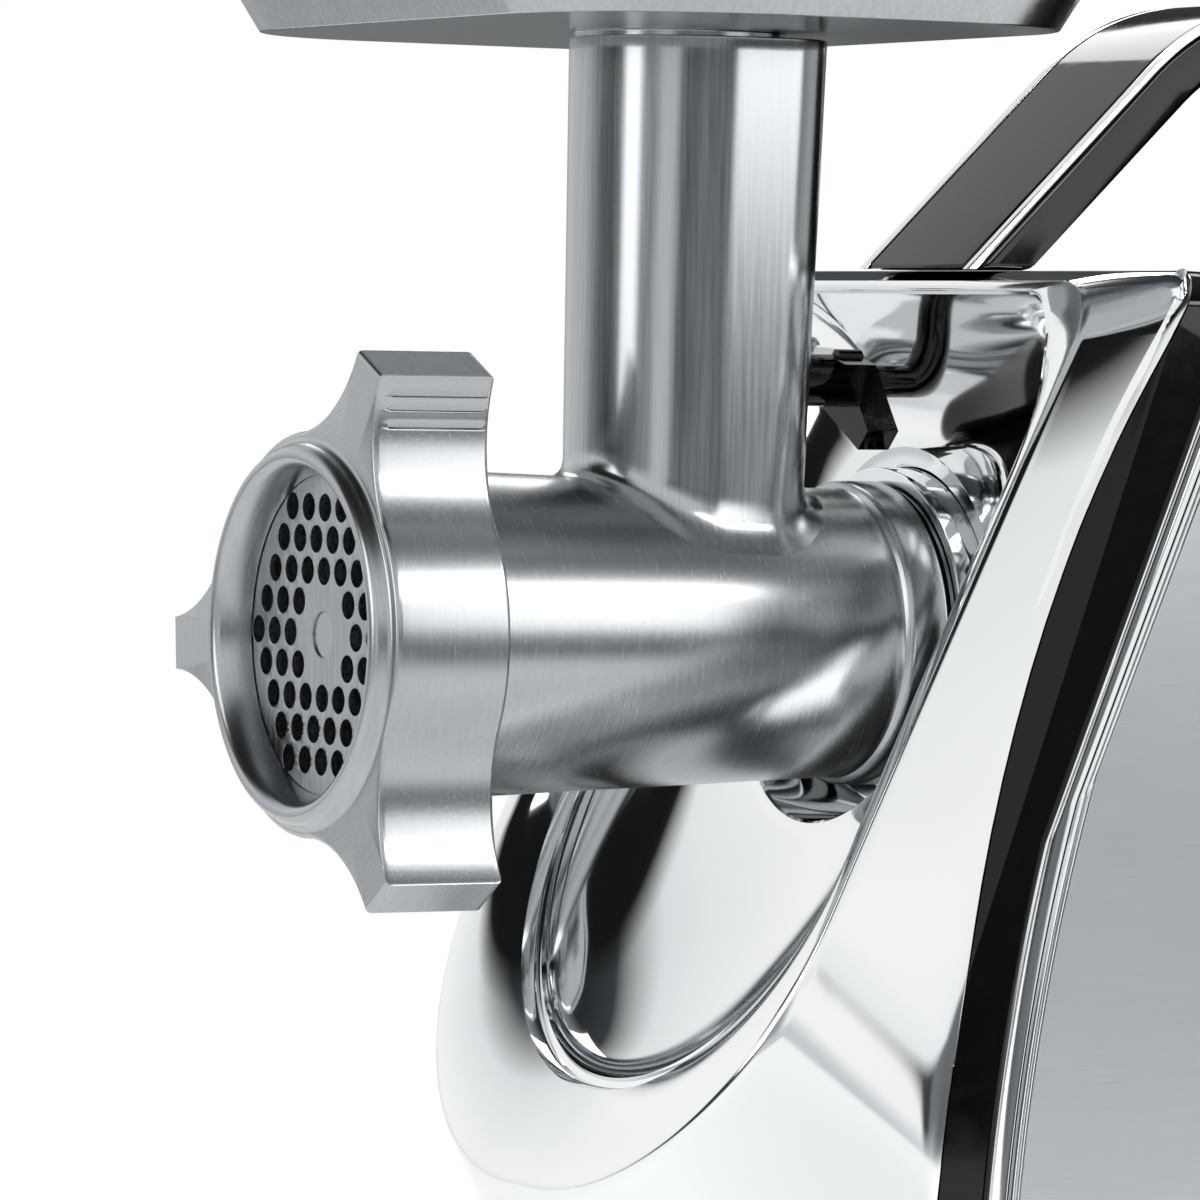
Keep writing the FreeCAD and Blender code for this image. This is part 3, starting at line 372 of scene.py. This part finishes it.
def buildBarrel():
    # a closed section of (radius, depth) turned round the axis
    nose, noseStart = head["nose"], head["noseStart"]
    collar, collarStart = head["collar"], head["collarStart"]
    spigot, spigotStart, spigotEnd = head["spigot"], head["spigotStart"], head["spigotEnd"]
    outer = [(nose - 0.4, noseStart), (nose, noseStart + 0.4), (nose, head["noseEnd"]),
             (29.3, 26.3), (28.95, 27.2)]
    outer += [(float(barrelRadius(d)), float(d)) for d in np.linspace(28.5, 109.2, 60)]
    outer += [(26.25, 109.75), (26.9, collarStart + 0.2), (27.3, collarStart + 0.6),
              (collar, collarStart + 1.3), (collar, spigotStart - 0.6),
              (collar - 0.3, spigotStart - 0.1), (spigot + 0.1, spigotStart),
              (spigot, spigotStart + 0.2), (spigot, spigotEnd - 0.4), (spigot - 0.4, spigotEnd)]
    inner = [(12.0, spigotEnd), (12.0, 106.0), (head["bore"] - 0.1, 106.0), (head["bore"], 105.8),
             (head["bore"], 25.1), (27.0, 20.1), (27.0, 13.2), (31.1, 13.2), (31.1, 10.4),
             (31.4, noseStart)]
    section = np.array(outer + inner)
    theta = np.linspace(0, 2 * np.pi, 361)[:-1]
    ring = np.stack([section[:, None, 0] * np.cos(theta),
                     np.repeat(section[:, None, 1], len(theta), 1),
                     section[:, None, 0] * np.sin(theta)], -1)
    barrel = makePiece("barrelShell", place(ring.reshape(-1, 3)),
                       gridFaces(len(section), len(theta), True, True), turnedAluminium)
    tidyMesh(barrel)
    return barrel


def tubeSection(half, centre, grow, count=48):
    # round in front and squared behind with large rear corners, count points per quarter
    far = centre + half
    corner = head["corner"] * half
    half, far, corner = half + grow, far + grow, corner + grow
    a = np.linspace(np.pi, 2 * np.pi, 2 * count, endpoint=False)
    b = np.linspace(0, np.pi / 2, count, endpoint=False)
    flat = np.linspace(0, 1, 16, endpoint=False)
    x = [half * np.cos(a), np.full(16, half), half - corner + corner * np.cos(b),
         (half - corner) * (1 - 2 * flat), corner - half - corner * np.sin(b), np.full(16, -half)]
    y = [centre + half * np.sin(a), centre + (far - corner - centre) * flat,
         far - corner + corner * np.sin(b), np.full(16, far), far - corner + corner * np.cos(b),
         far - corner - (far - corner - centre) * flat]
    return np.concatenate(x), np.concatenate(y)


def tubeAt(height, grow):
    # the tube widens evenly with height, so each point takes the section of its own height
    share = height / head["tubeHeight"]
    shift = head["tubeTop"] - head["tubeBase"]
    lowX, lowY = tubeSection(head["tubeBase"], head["tubeCentre"], grow)
    highX, highY = tubeSection(head["tubeTop"], head["tubeCentre"] + shift, grow)
    return lowX + (highX - lowX) * share, lowY + (highY - lowY) * share


def buildFeedTube():
    # sections stacked up the tube; near the foot each point spreads and lands on the barrel,
    # its height following a quarter circle tangent to the barrel
    r = head["fillet"]
    rows = []
    for spread in np.linspace(r, 0.0, 15):
        x, y = tubeAt(head["rear"], spread)
        surfaceZ = np.sqrt(np.maximum(barrelRadius(y) ** 2 - x ** 2, 25.0))
        rise = r - np.sqrt(max(r * r - (r - spread) ** 2, 0.0))
        height = surfaceZ + (rise if spread < r else -0.25)
        x, y = tubeAt(height, spread)
        rows.append(np.stack([x, y, height], -1))
    start = rows[-1][:, 2]
    top = head["tubeHeight"]
    for share in np.linspace(0, 1, 40)[1:]:
        height = start + (top - 0.5 - start) * share
        x, y = tubeAt(height, 0.0)
        rows.append(np.stack([x, y, height], -1))
    for grow, lift in ((-0.12, 0.3), (-0.5, 0.5)):
        x, y = tubeAt(top, grow)
        rows.append(np.stack([x, y, np.full_like(x, top - 0.5 + lift)], -1))
    angle = np.arctan2(rows[-1][:, 1] - head["tubeCentre"], rows[-1][:, 0])
    for radius, height in ((19.2, top), (18.9, top - 0.3), (18.9, 96.0), (head["tubeBore"], 95.8),
                           (head["tubeBore"], head["boreFoot"]),
                           (head["footBore"], head["boreFoot"])):
        rows.append(np.stack([radius * np.cos(angle), head["tubeCentre"] + radius * np.sin(angle),
                              np.full_like(angle, height)], -1))
    low = rows[0].copy()      # the foot closes 2 mm inside the barrel's wall
    low[:, 2] -= 2.0
    centre = np.array([0.0, head["tubeCentre"]])
    low[:, :2] = centre + (low[:, :2] - centre) * 0.93
    rows.append(low)
    grid = np.stack(rows)
    tube = makePiece("feedTubeWall", place(grid.reshape(-1, 3)),
                     gridFaces(len(rows), grid.shape[1], True, True), brushedAluminium)
    tidyMesh(tube)
    return tube


def cutThroat(barrel):
    # the throat is drilled through the barrel's top wall
    theta = np.linspace(0, 2 * np.pi, 97)[:-1]
    radius, centre, top = head["tubeBore"], head["tubeCentre"], 45.0
    rings = [np.stack([radius * np.cos(theta), centre + radius * np.sin(theta),
                       np.full_like(theta, z)], -1) for z in (0.0, top)]
    points = np.concatenate(rings + [np.array([[0, centre, 0.0], [0, centre, top]])])
    n = len(theta)
    i = np.arange(n)
    j = (i + 1) % n
    sides = np.stack([i, j, n + j, n + i], -1)
    mesh = bpy.data.meshes.new("throatDrill")
    faces = [tuple(f) for f in sides.tolist()]
    faces += [(2 * n, b, a) for a, b in zip(i.tolist(), j.tolist())]
    faces += [(2 * n + 1, n + a, n + b) for a, b in zip(i.tolist(), j.tolist())]
    mesh.from_pydata(place(points).tolist(), [], faces)
    drill = bpy.data.objects.new("throatDrill", mesh)
    bpy.context.scene.collection.objects.link(drill)
    tidyMesh(drill)
    cut = barrel.modifiers.new("throat", "BOOLEAN")
    cut.operation = "DIFFERENCE"
    cut.solver = "EXACT"
    cut.object = drill
    bpy.context.view_layer.update()
    baked = bpy.data.meshes.new_from_object(
        barrel.evaluated_get(bpy.context.evaluated_depsgraph_get()))
    barrel.modifiers.clear()
    barrel.data = baked
    bpy.data.objects.remove(drill)


barrel = buildBarrel()
cutThroat(barrel)
feedTube = buildFeedTube()
for piece in (barrel, feedTube):
    sharpen(piece, head["sharp"])
    seat(piece, "head", ["head_casting"])
print("head made")


# Front shell: oval lip round a hollow, and the bright strip that runs back to the joint line
fascia = {"lean": 0.476, "zero": 94.3, "ridge": (65.0, -98.0, 64.0, 60.0, 12.0),
          "dish": (53.0, -76.0, 62.5, 17.5), "lowReach": 58.0, "highReach": 20.0, "inset": 7.0,
          "back": (100.0, -176.0, 76.0, 70.0, 16.0), "backDepth": 138.0, "backLean": 13.0,
          "box": (78.0, -142.0, 66.0, 14.0, 8.0), "bandRadius": 377.0,
          "bandCentre": (463.0, -125.0),
          "recess": 34.0, "recessFloor": 125.0, "hole": 30.2, "groove": 0.7, "sheet": 2.4,
          "dishRound": ((52.9, 56.0), (13.0, 13.0)), "lipPower": 2.1, "fade": (0.62, 0.42),
          "softCorner": 0.9, "softTurn": 3.5, "sharp": 30}


def ovalOutline(half, low, high, lowRadii, highRadii, arc=60, line=24):
    # a rounded rectangle from the lower right corner round: four corner arcs and four sides,
    # each corner a quarter ellipse with its own two radii
    corners = [(half, low, lowRadii, -90), (half, high, highRadii, 0),
               (-half, high, highRadii, 90), (-half, low, lowRadii, 180)]
    xs, zs = [], []
    ends = []
    for x, z, (rx, rz), begin in corners:
        turn = np.radians(begin + np.linspace(0, 90, arc, endpoint=False))
        last = math.radians(begin + 90)
        cx = x - math.copysign(rx, x)
        cz = z + (rz if z == low else -rz)
        ends.append((cx + rx * np.cos(turn), cz + rz * np.sin(turn),
                     cx + rx * math.cos(last), cz + rz * math.sin(last)))
    for i in range(4):
        ax, az, ex, ez = ends[i]
        nx, nz = ends[(i + 1) % 4][0][0], ends[(i + 1) % 4][1][0]
        along = np.linspace(0, 1, line, endpoint=False)
        xs += [ax, ex + (nx - ex) * along]
        zs += [az, ez + (nz - ez) * along]
    return np.concatenate(xs), np.concatenate(zs)


def leanPoints(x, p, q):
    # a point p behind the leaning front plane and q up it, turned into depth and height
    a = math.atan(fascia["lean"])
    return np.stack(np.broadcast_arrays(x, fascia["zero"] + p * math.cos(a) + q * math.sin(a),
                                        -p * math.sin(a) + q * math.cos(a)), -1)


def dishDepth(x, q):
    # half ellipsoids above and below an elliptic trough, measured behind the front plane
    half, low, high, depth = fascia["dish"]
    s = 1 / math.cos(math.atan(fascia["lean"]))
    ql = low * s + fascia["lowReach"]
    qh = high * s - fascia["highReach"]
    v = np.where(q < ql, (q - ql) / fascia["lowReach"],
                 np.where(q > qh, (q - qh) / fascia["highReach"], 0.0))
    return fascia["inset"] + depth * np.sqrt(np.maximum(1 - (x / half) ** 2 - v ** 2, 0.0))


def boxDistance(x, z):
    # distance outside the body's rounded section, with its gradient
    half, low, high, lowRound, highRound = fascia["box"]
    middle, reach = (low + high) / 2, (high - low) / 2
    r = np.where(z > middle, highRound, lowRound)
    dx, dz = np.abs(x) - half + r, np.abs(z - middle) - reach + r
    out = np.hypot(np.maximum(dx, 0), np.maximum(dz, 0))
    d = np.where((dx > 0) & (dz > 0), out, np.maximum(dx, dz)) - r
    corner = (dx > 0) & (dz > 0)
    gx = np.where(corner, dx / np.maximum(out, 1e-9), (dx >= dz).astype(float))
    gz = np.where(corner, dz / np.maximum(out, 1e-9), (dx < dz).astype(float))
    return d, gx * np.sign(x), gz * np.sign(z - middle)


def bandDepth(z, back=0.0):
    # the joint line of the side is a large circle; back moves it rearwards
    y, c = fascia["bandCentre"]
    radius = fascia["bandRadius"] - back
    return y - np.sqrt(radius ** 2 - (z - c) ** 2)


def buildFascia():
    # closed curves, one inside the next: hole, recess, hollow, lip, ridge, strip, side
    s = 1 / math.cos(math.atan(fascia["lean"]))
    half, low, high, lowRound, highRound = fascia["ridge"]
    rx, rq = ovalOutline(half, low * s, high * s, (lowRound, lowRound), (highRound, highRound))
    dh, dl, dt = fascia["dish"][:3]
    ex, eq = ovalOutline(dh, dl * s, dt * s, *fascia["dishRound"])
    bh, bl, bt, blr, bhr = fascia["back"]
    bx, bq = ovalOutline(bh, bl, bt, (blr, blr), (bhr, bhr))
    b = math.radians(fascia["backLean"])
    backPoints = np.stack([bx, fascia["backDepth"] + bq * math.sin(b), bq * math.cos(b)], -1)
    rows = []
    angle = np.unwrap(np.arctan2(eq + 6.0, ex))
    for radius, depth in ((fascia["hole"], fascia["recessFloor"] + 2.5),
                          (fascia["hole"], fascia["recessFloor"] + 0.4),
                          (fascia["hole"] + 0.4, fascia["recessFloor"]),
                          (fascia["recess"] - 1.0, fascia["recessFloor"]),
                          (fascia["recess"] - 0.2, fascia["recessFloor"] - 0.2)):
        rows.append(np.stack([radius * np.cos(angle), np.full_like(angle, depth),
                              radius * np.sin(angle)], -1))
    # the recess opens into the hollow where its wall meets the ellipsoid
    a = math.atan(fascia["lean"])
    hollow = []
    for radius in (fascia["recess"], fascia["recess"] + 0.35):
        x, z = radius * np.cos(angle), radius * np.sin(angle)
        y = np.full_like(z, 118.0)
        for _ in range(30):
            q = (y - fascia["zero"]) * math.sin(a) + z * math.cos(a)
            wanted = dishDepth(x, q)
            p = (y - fascia["zero"]) * math.cos(a) - z * math.sin(a)
            y = y + 0.7 * (wanted - p)
        hollow.append(np.stack([x, y, z], -1))
    first = hollow[0].copy()
    first[:, 1] += 0.35
    rows += [first, hollow[1]]
    startQ = (hollow[1][:, 1] - fascia["zero"]) * math.sin(a) + hollow[1][:, 2] * math.cos(a)
    startX = hollow[1][:, 0]
    # the lip fades out towards the top, where the hollow runs straight up to the edge
    climb = np.clip((eq - fascia["fade"][0] * dt) / (fascia["fade"][1] * dt), 0, 1)
    rimP = fascia["inset"] - (fascia["inset"] - 0.5) * climb ** 2 * (3 - 2 * climb)
    startDeep = dishDepth(startX, startQ) - rimP
    for t in np.sin(np.linspace(0.02, np.pi / 2, 52)):
        p = rimP + 0.15 + startDeep * math.sqrt(max(1 - t * t, 0.0))
        rows.append(leanPoints(startX + (ex - startX) * t, p, startQ + (eq - startQ) * t))
    # a narrow groove inside the lip, then the lip with a slight crown
    g = fascia["groove"] * rimP / fascia["inset"]
    nx, nq = rx - ex, rq - eq
    for share, p in ((0.02, rimP + g), (0.07, rimP + g), (0.08, rimP + 0.15 * g),
                     (0.10, rimP - 0.3 * g)):
        rows.append(leanPoints(ex + nx * share, p, eq + nq * share))
    for t in np.linspace(0.14, 0.93, 24):
        fall = (1 - t) ** fascia["lipPower"]
        rows.append(leanPoints(ex + nx * t, (rimP - 0.3 * g) * fall, eq + nq * t))
    for t, p in ((0.955, 0.0), (0.975, 0.03), (0.99, 0.12)):
        rows.append(leanPoints(ex + nx * t, np.full_like(ex, p), eq + nq * t))
    # the strip: straight lines from the ridge towards the body's swollen outline, turned
    # softly along the flat side where they would leave it, and stopped at the joint line
    ridge = leanPoints(rx, np.zeros_like(rx), rq)
    way = backPoints - ridge
    ts = np.linspace(0, 2.2, 1200)[:, None]
    px, pz, py = [ridge[:, i] + way[:, i] * ts for i in (0, 2, 1)]
    d = boxDistance(px, pz)[0]
    leave = np.argmax(d > 0, axis=0)
    leave = np.where(d.max(axis=0) > 0, ts[leave, 0], 2.0)
    sideLow, sideHigh = fascia["box"][1:3]
    joint = np.argmax(py > bandDepth(np.clip(pz, sideLow, sideHigh)) - 0.3, axis=0)
    joint = ts[joint, 0]
    soft = fascia["softCorner"]
    delta = fascia["softTurn"] / np.linalg.norm(way, axis=1)
    turnAt = np.minimum(leave, joint)
    near, turnFrom = 0.012, np.maximum(turnAt - delta, 0.02)
    turnTo = turnFrom + np.minimum(2 * delta, np.maximum(joint - turnFrom, 0))
    for share in np.concatenate([np.linspace(0, 1, 22), np.linspace(1, 2, 15)[1:],
                                 np.linspace(2, 3, 20)[1:]]):
        if share <= 1:
            t = near + (turnFrom - near) * share
        elif share <= 2:
            t = turnFrom + (turnTo - turnFrom) * (share - 1)
        else:
            t = turnTo + (joint - turnTo) * (share - 2)
        point = ridge + way * t[:, None]
        dist, gx, gz = boxDistance(point[:, 0], point[:, 2])
        push = 0.5 * (dist + np.sqrt(dist ** 2 + soft ** 2))
        push = np.where(dist < -12, 0, push)
        point[:, 0] -= gx * push
        point[:, 2] -= gz * push
        rows.append(point)
    last = rows[-1].copy()
    dist, gx, gz = boxDistance(last[:, 0], last[:, 2])
    last[:, 1] = bandDepth(last[:, 2]) - 0.05
    last[:, 0] -= gx * 0.35
    last[:, 2] -= gz * 0.35
    rows.append(last)
    grid = np.stack(rows)
    shell = makePiece("platedFront", place(grid.reshape(-1, 3)),
                      gridFaces(len(rows), grid.shape[1], False, True), platedChrome)
    turnOutwards(shell, grid.shape[1])
    sheet = shell.modifiers.new("wall", "SOLIDIFY")
    sheet.thickness = fascia["sheet"] * mm
    sheet.offset = -1.0
    sharpen(shell, fascia["sharp"])
    seat(shell, "housing", ["front_fascia"])


def turnOutwards(piece, columns):
    # an open shell has no inside to find: its faces are flipped if the ridge points backwards
    mesh = piece.data
    middle = mesh.polygons[len(mesh.polygons) - columns * 45]
    if middle.normal.y > 0.0:
        mesh.flip_normals()


buildFascia()
print("front shell made")

# Trim rings: beads round each side panel, carried along the panel's own outline
trim = {"width": 7.0, "back": 16.0, "low": -128.0, "high": 51.0, "rear": 328.0, "round": 12.0,
        "drop": 3.0, "sharp": 35,
        "section": [(0.0, 76.6), (0.0, 78.5), (0.12, 78.85), (0.4, 79.0), (0.75, 78.85),
                    (1.0, 78.45), (1.5, 78.12), (2.4, 77.92), (3.4, 77.98), (4.1, 78.15),
                    (4.35, 78.35), (4.4, 77.6), (4.6, 77.6), (4.65, 78.4), (4.85, 78.8),
                    (5.15, 78.95), (5.45, 78.8), (5.62, 78.4), (5.66, 77.7), (5.84, 77.7),
                    (5.9, 78.35), (6.05, 78.62), (6.35, 78.72), (6.6, 78.6), (6.75, 78.3),
                    (6.8, 77.8), (7.0, 77.8), (7.0, 76.6)]}


def panelOutline(back, grow):
    # a rounded four-cornered outline in (depth, height), its front drawn in to the big circle
    low, high, rear = trim["low"] - grow, trim["high"] + grow, trim["rear"] + grow
    topFront, lowFront = float(bandDepth(high, back)), float(bandDepth(low, back))
    drop = (rear - topFront) * math.tan(math.radians(trim["drop"]))
    corners = np.array([(lowFront - 30, low), (topFront, high), (rear, high - drop), (rear, low)])
    radii = [2.0] + [trim["round"] + grow] * 3
    parts = []
    for i in range(4):
        here, before, after = corners[i], corners[i - 1], corners[(i + 1) % 4]
        u = (before - here) / np.linalg.norm(before - here)
        v = (after - here) / np.linalg.norm(after - here)
        opening = math.acos(float(u @ v))
        reach = radii[i] / math.tan(opening / 2)
        centre = here + (u + v) / np.linalg.norm(u + v) * radii[i] / math.sin(opening / 2)
        a, b = here + u * reach - centre, here + v * reach - centre
        start = math.atan2(a[1], a[0])
        sweep = (math.atan2(b[1], b[0]) - start + math.pi) % (2 * math.pi) - math.pi
        turn = start + sweep * np.linspace(0, 1, 40)
        parts.append(centre + radii[i] * np.stack([np.cos(turn), np.sin(turn)], -1))
    path = []
    for i in range(4):
        path.append(parts[i])
        nextStart = parts[(i + 1) % 4][0]
        end = parts[i][-1]
        path.append(end + (nextStart - end) * np.linspace(0, 1, 185)[1:-1, None])
    path = np.concatenate(path)
    centre = np.array(fascia["bandCentre"])
    radius = fascia["bandRadius"] - back
    away = path - centre
    far = np.linalg.norm(away, axis=1, keepdims=True)
    return np.where(far > radius, centre + away * radius / far, path)


def buildTrim(side):
    # the section's points run along outlines that shrink towards the panel
    rows = []
    for inwards, height in trim["section"]:
        path = panelOutline(trim["back"] - trim["width"] + inwards, trim["width"] - inwards)
        rows.append(np.stack([np.full(len(path), side * height), path[:, 0], path[:, 1]], -1))
    grid = np.stack(rows)
    name = "rightTrimBeads" if side > 0 else "leftTrimBeads"
    node = "right_trim_ring" if side > 0 else "left_trim_ring"
    beads = makePiece(name, place(grid.reshape(-1, 3)),
                      gridFaces(len(rows), grid.shape[1], True, True), platedChrome)
    tidyMesh(beads)
    sharpen(beads, trim["sharp"])
    seat(beads, "housing", [node])


buildTrim(1)
buildTrim(-1)
print("trim rings made")


# Studio: camera, floor, pale surroundings and soft lights
studio = {"azimuth": 61.4, "elevation": 2.0, "roll": 1.0, "distance": 1.3, "lens": 219.4,
          "target": (0.0, -0.117, 0.156), "blackBoard": (-0.05, -0.72, 0.69),
          "blackBoardEdge": (0.84, 0.92), "blackBoardTone": "141617", "facing": (0.05, 0.38),
          "horizon": (0.07, 0.13), "floorRadius": 0.62, "floorDrop": 0.0006, "floorGlow": 0.45,
          "frontSky": [(0.0, "D8DADB"), (0.34, "C8CACC"), (0.46, "D0D2D4"), (0.56, "F4F5F6"),
                       (0.66, "FFFFFF"), (0.80, "E8EAEB"), (0.885, "3A3D3F"), (1.0, "1E2022")],
          "rearSky": [(0.0, "9A9DA0"), (0.24, "5C5F62"), (0.40, "36393B"), (0.53, "3A3D3F"),
                      (0.66, "484B4E"), (0.80, "585B5E"), (0.90, "8A8D90"), (1.0, "9A9DA0")],
          "boards": [(-180, "F0F1F2"), (-142, "E8EAEB"), (-124, "8C8F92"), (-112, "3A3D3F"),
                     (-84, "2E3032"), (-76, "8C8F92"), (-58, "A4A7A9"), (-52, "FFFFFF"),
                     (-38, "FFFFFF"), (-33, "44474A"), (-24, "3A3D3F"), (-12, "76797C"),
                     (20, "696C6F"), (45, "7A7D80"), (75, "D8DADB"), (110, "B0B3B5"),
                     (140, "3C3F41"), (158, "A0A3A5"), (180, "F0F1F2")],
          "softBoxes": {   # place, target, size in metres, then watts
              "overheadBox": ((-1.0, 0.5, 1.2), (0, 0, 0.15), (0.9, 0.9), 9.0),
              "streakBox": ((1.15, 0.68, 0.90), (0, -0.1, 0.15), (1.3, 0.17), 6.0),
              "panelBox": ((0.74, 0.42, 0.36), (0.08, 0.05, 0.18), (0.5, 0.30), 1.2),
              "frontBox": ((0.2, -1.6, 0.6), (0, -0.1, 0.15), (0.5, 1.0), 4.0)}}


def makeCamera():
    a, e = math.radians(studio["azimuth"]), math.radians(studio["elevation"])
    back = Vector((math.sin(a) * math.cos(e), -math.cos(a) * math.cos(e), math.sin(e)))
    lens = bpy.data.cameras.new("studioCamera")
    lens.lens = studio["lens"]
    lens.sensor_width = 36.0
    lens.clip_end = 50.0
    camera = bpy.data.objects.new("studioCamera", lens)
    bpy.context.scene.collection.objects.link(camera)
    camera.location = Vector(studio["target"]) + back * studio["distance"]
    turned = back.to_track_quat("Z", "Y")
    camera.rotation_euler = turned.to_euler()
    camera.rotation_euler.rotate_axis("Z", math.radians(studio["roll"]))
    bpy.context.scene.camera = camera


def softBox(name, place, target, size, power):
    # one rectangular lamp at a point, facing another
    lamp = bpy.data.lights.new(name, "AREA")
    lamp.shape = "RECTANGLE"
    lamp.size, lamp.size_y = size
    lamp.energy = power
    held = bpy.data.objects.new(name, lamp)
    bpy.context.scene.collection.objects.link(held)
    held.location = place
    aim = Vector(place) - Vector(target)
    held.rotation_euler = aim.to_track_quat("Z", "Y").to_euler()


def addRamp(tree, source, output, stops):
    # a colour ramp with its stops given as position and sRGB hex
    ramp = addNode(tree, "ShaderNodeValToRGB", {}, {"Fac": (source, output)})
    for stop in stops[2:]:
        ramp.color_ramp.elements.new(stop[0])
    for element, (position, tone) in zip(ramp.color_ramp.elements, stops):
        element.position = position
        element.color = hexColour(tone)
    return ramp


def edgeRange(tree, name, source, output):
    # 0 before a soft edge and 1 after it
    first, last = studio[name]
    return addNode(tree, "ShaderNodeMapRange", {"From Min": first, "From Max": last},
                   {"Value": (source, output)})


def makeSurroundings():
    # white to the camera; reflections see upright grey and white boards along the horizon,
    # a sky that is pale in front and dark behind, and a black board over the front
    world = bpy.data.worlds.new("paleStudio")
    bpy.context.scene.world = world
    world.use_nodes = True
    tree = world.node_tree
    tree.nodes.clear()
    where = addNode(tree, "ShaderNodeTexCoord")
    split = addNode(tree, "ShaderNodeSeparateXYZ", {}, {"Vector": (where, "Generated")})
    turn = addNode(tree, "ShaderNodeMath", {"operation": "ARCTAN2"},
                   {0: (split, "Y"), 1: (split, "X")})
    around = addNode(tree, "ShaderNodeMapRange", {"From Min": -math.pi, "From Max": math.pi},
                     {"Value": (turn, "Value")})
    spread = addNode(tree, "ShaderNodeMapRange", {"From Min": -1.0, "From Max": 1.0},
                     {"Value": (split, "Z")})
    front = addRamp(tree, spread, "Result", studio["frontSky"])
    rear = addRamp(tree, spread, "Result", studio["rearSky"])
    facing = edgeRange(tree, "facing", split, "Y")
    sky = addNode(tree, "ShaderNodeMix", {"data_type": "RGBA"}, {0: (facing, "Result")})
    tree.links.new(front.outputs["Color"], sky.inputs[6])
    tree.links.new(rear.outputs["Color"], sky.inputs[7])
    boards = addRamp(tree, around, "Result",
                     [((angle + 180) / 360, tone) for angle, tone in studio["boards"]])
    height = addNode(tree, "ShaderNodeMath", {"operation": "ABSOLUTE"}, {0: (split, "Z")})
    blend = edgeRange(tree, "horizon", height, "Value")
    aim = addNode(tree, "ShaderNodeVectorMath", {"operation": "DOT_PRODUCT",
                                                 1: studio["blackBoard"]},
                  {0: (where, "Generated")})
    shade = edgeRange(tree, "blackBoardEdge", aim, "Value")
    screened = addNode(tree, "ShaderNodeMix",
                       {"data_type": "RGBA", 7: hexColour(studio["blackBoardTone"])},
                       {0: (shade, "Result")})
    tree.links.new(sky.outputs[2], screened.inputs[6])
    mixed = addNode(tree, "ShaderNodeMix", {"data_type": "RGBA"},
                    {0: (blend, "Result"), 6: (boards, "Color")})
    tree.links.new(screened.outputs[2], mixed.inputs[7])
    seen = addNode(tree, "ShaderNodeLightPath")
    reflected = addNode(tree, "ShaderNodeBackground", {"Strength": 1.0})
    tree.links.new(mixed.outputs[2], reflected.inputs["Color"])
    plain = addNode(tree, "ShaderNodeBackground", {"Color": (1, 1, 1, 1), "Strength": 1.0})
    shown = addNode(tree, "ShaderNodeMixShader", {}, {0: (seen, "Is Camera Ray"),
                                                      1: (reflected, "Background"),
                                                      2: (plain, "Background")})
    addNode(tree, "ShaderNodeOutputWorld", {}, {"Surface": (shown, "Shader")})


def makeFloor():
    # a pale disc just under the feet, in rings round one middle point, lifted by a faint glow
    theta = np.linspace(0, 2 * np.pi, 129)[:-1]
    radii = np.linspace(0.0, studio["floorRadius"], 8)[1:]
    under = -studio["floorDrop"]
    ring = np.stack([radii[:, None] * np.cos(theta), radii[:, None] * np.sin(theta),
                     np.full((len(radii), len(theta)), under)], -1).reshape(-1, 3)
    mesh = bpy.data.meshes.new("paleFloor")
    faces = gridFaces(len(radii), len(theta), False, True)
    points = np.concatenate([ring, [[0.0, 0.0, under]]])
    n = len(theta)
    caps = [(len(points) - 1, i, (i + 1) % n) for i in range(n)]
    mesh.from_pydata(points.tolist(), [], [tuple(f) for f in faces.tolist()] + caps)
    floor = bpy.data.objects.new("paleFloor", mesh)
    bpy.context.scene.collection.objects.link(floor)
    tidyMesh(floor)
    floor.data.materials.append(surface("paintedPaleFloor",
                                        lambda t: grainNoise(t, (333.3, 333.3, 333.3)),
                                        ("F4F4F3", "FAFAF9"), (0.6, 0.7), 0.0, 0.02, 0.2,
                                        {"Emission Color": hexColour("FFFFFF"),
                                         "Emission Strength": studio["floorGlow"]}))


makeCamera()
makeSurroundings()
makeFloor()
for name, values in studio["softBoxes"].items():
    softBox(name, *values)
bpy.context.scene.view_settings.view_transform = "Standard"
print("studio made")
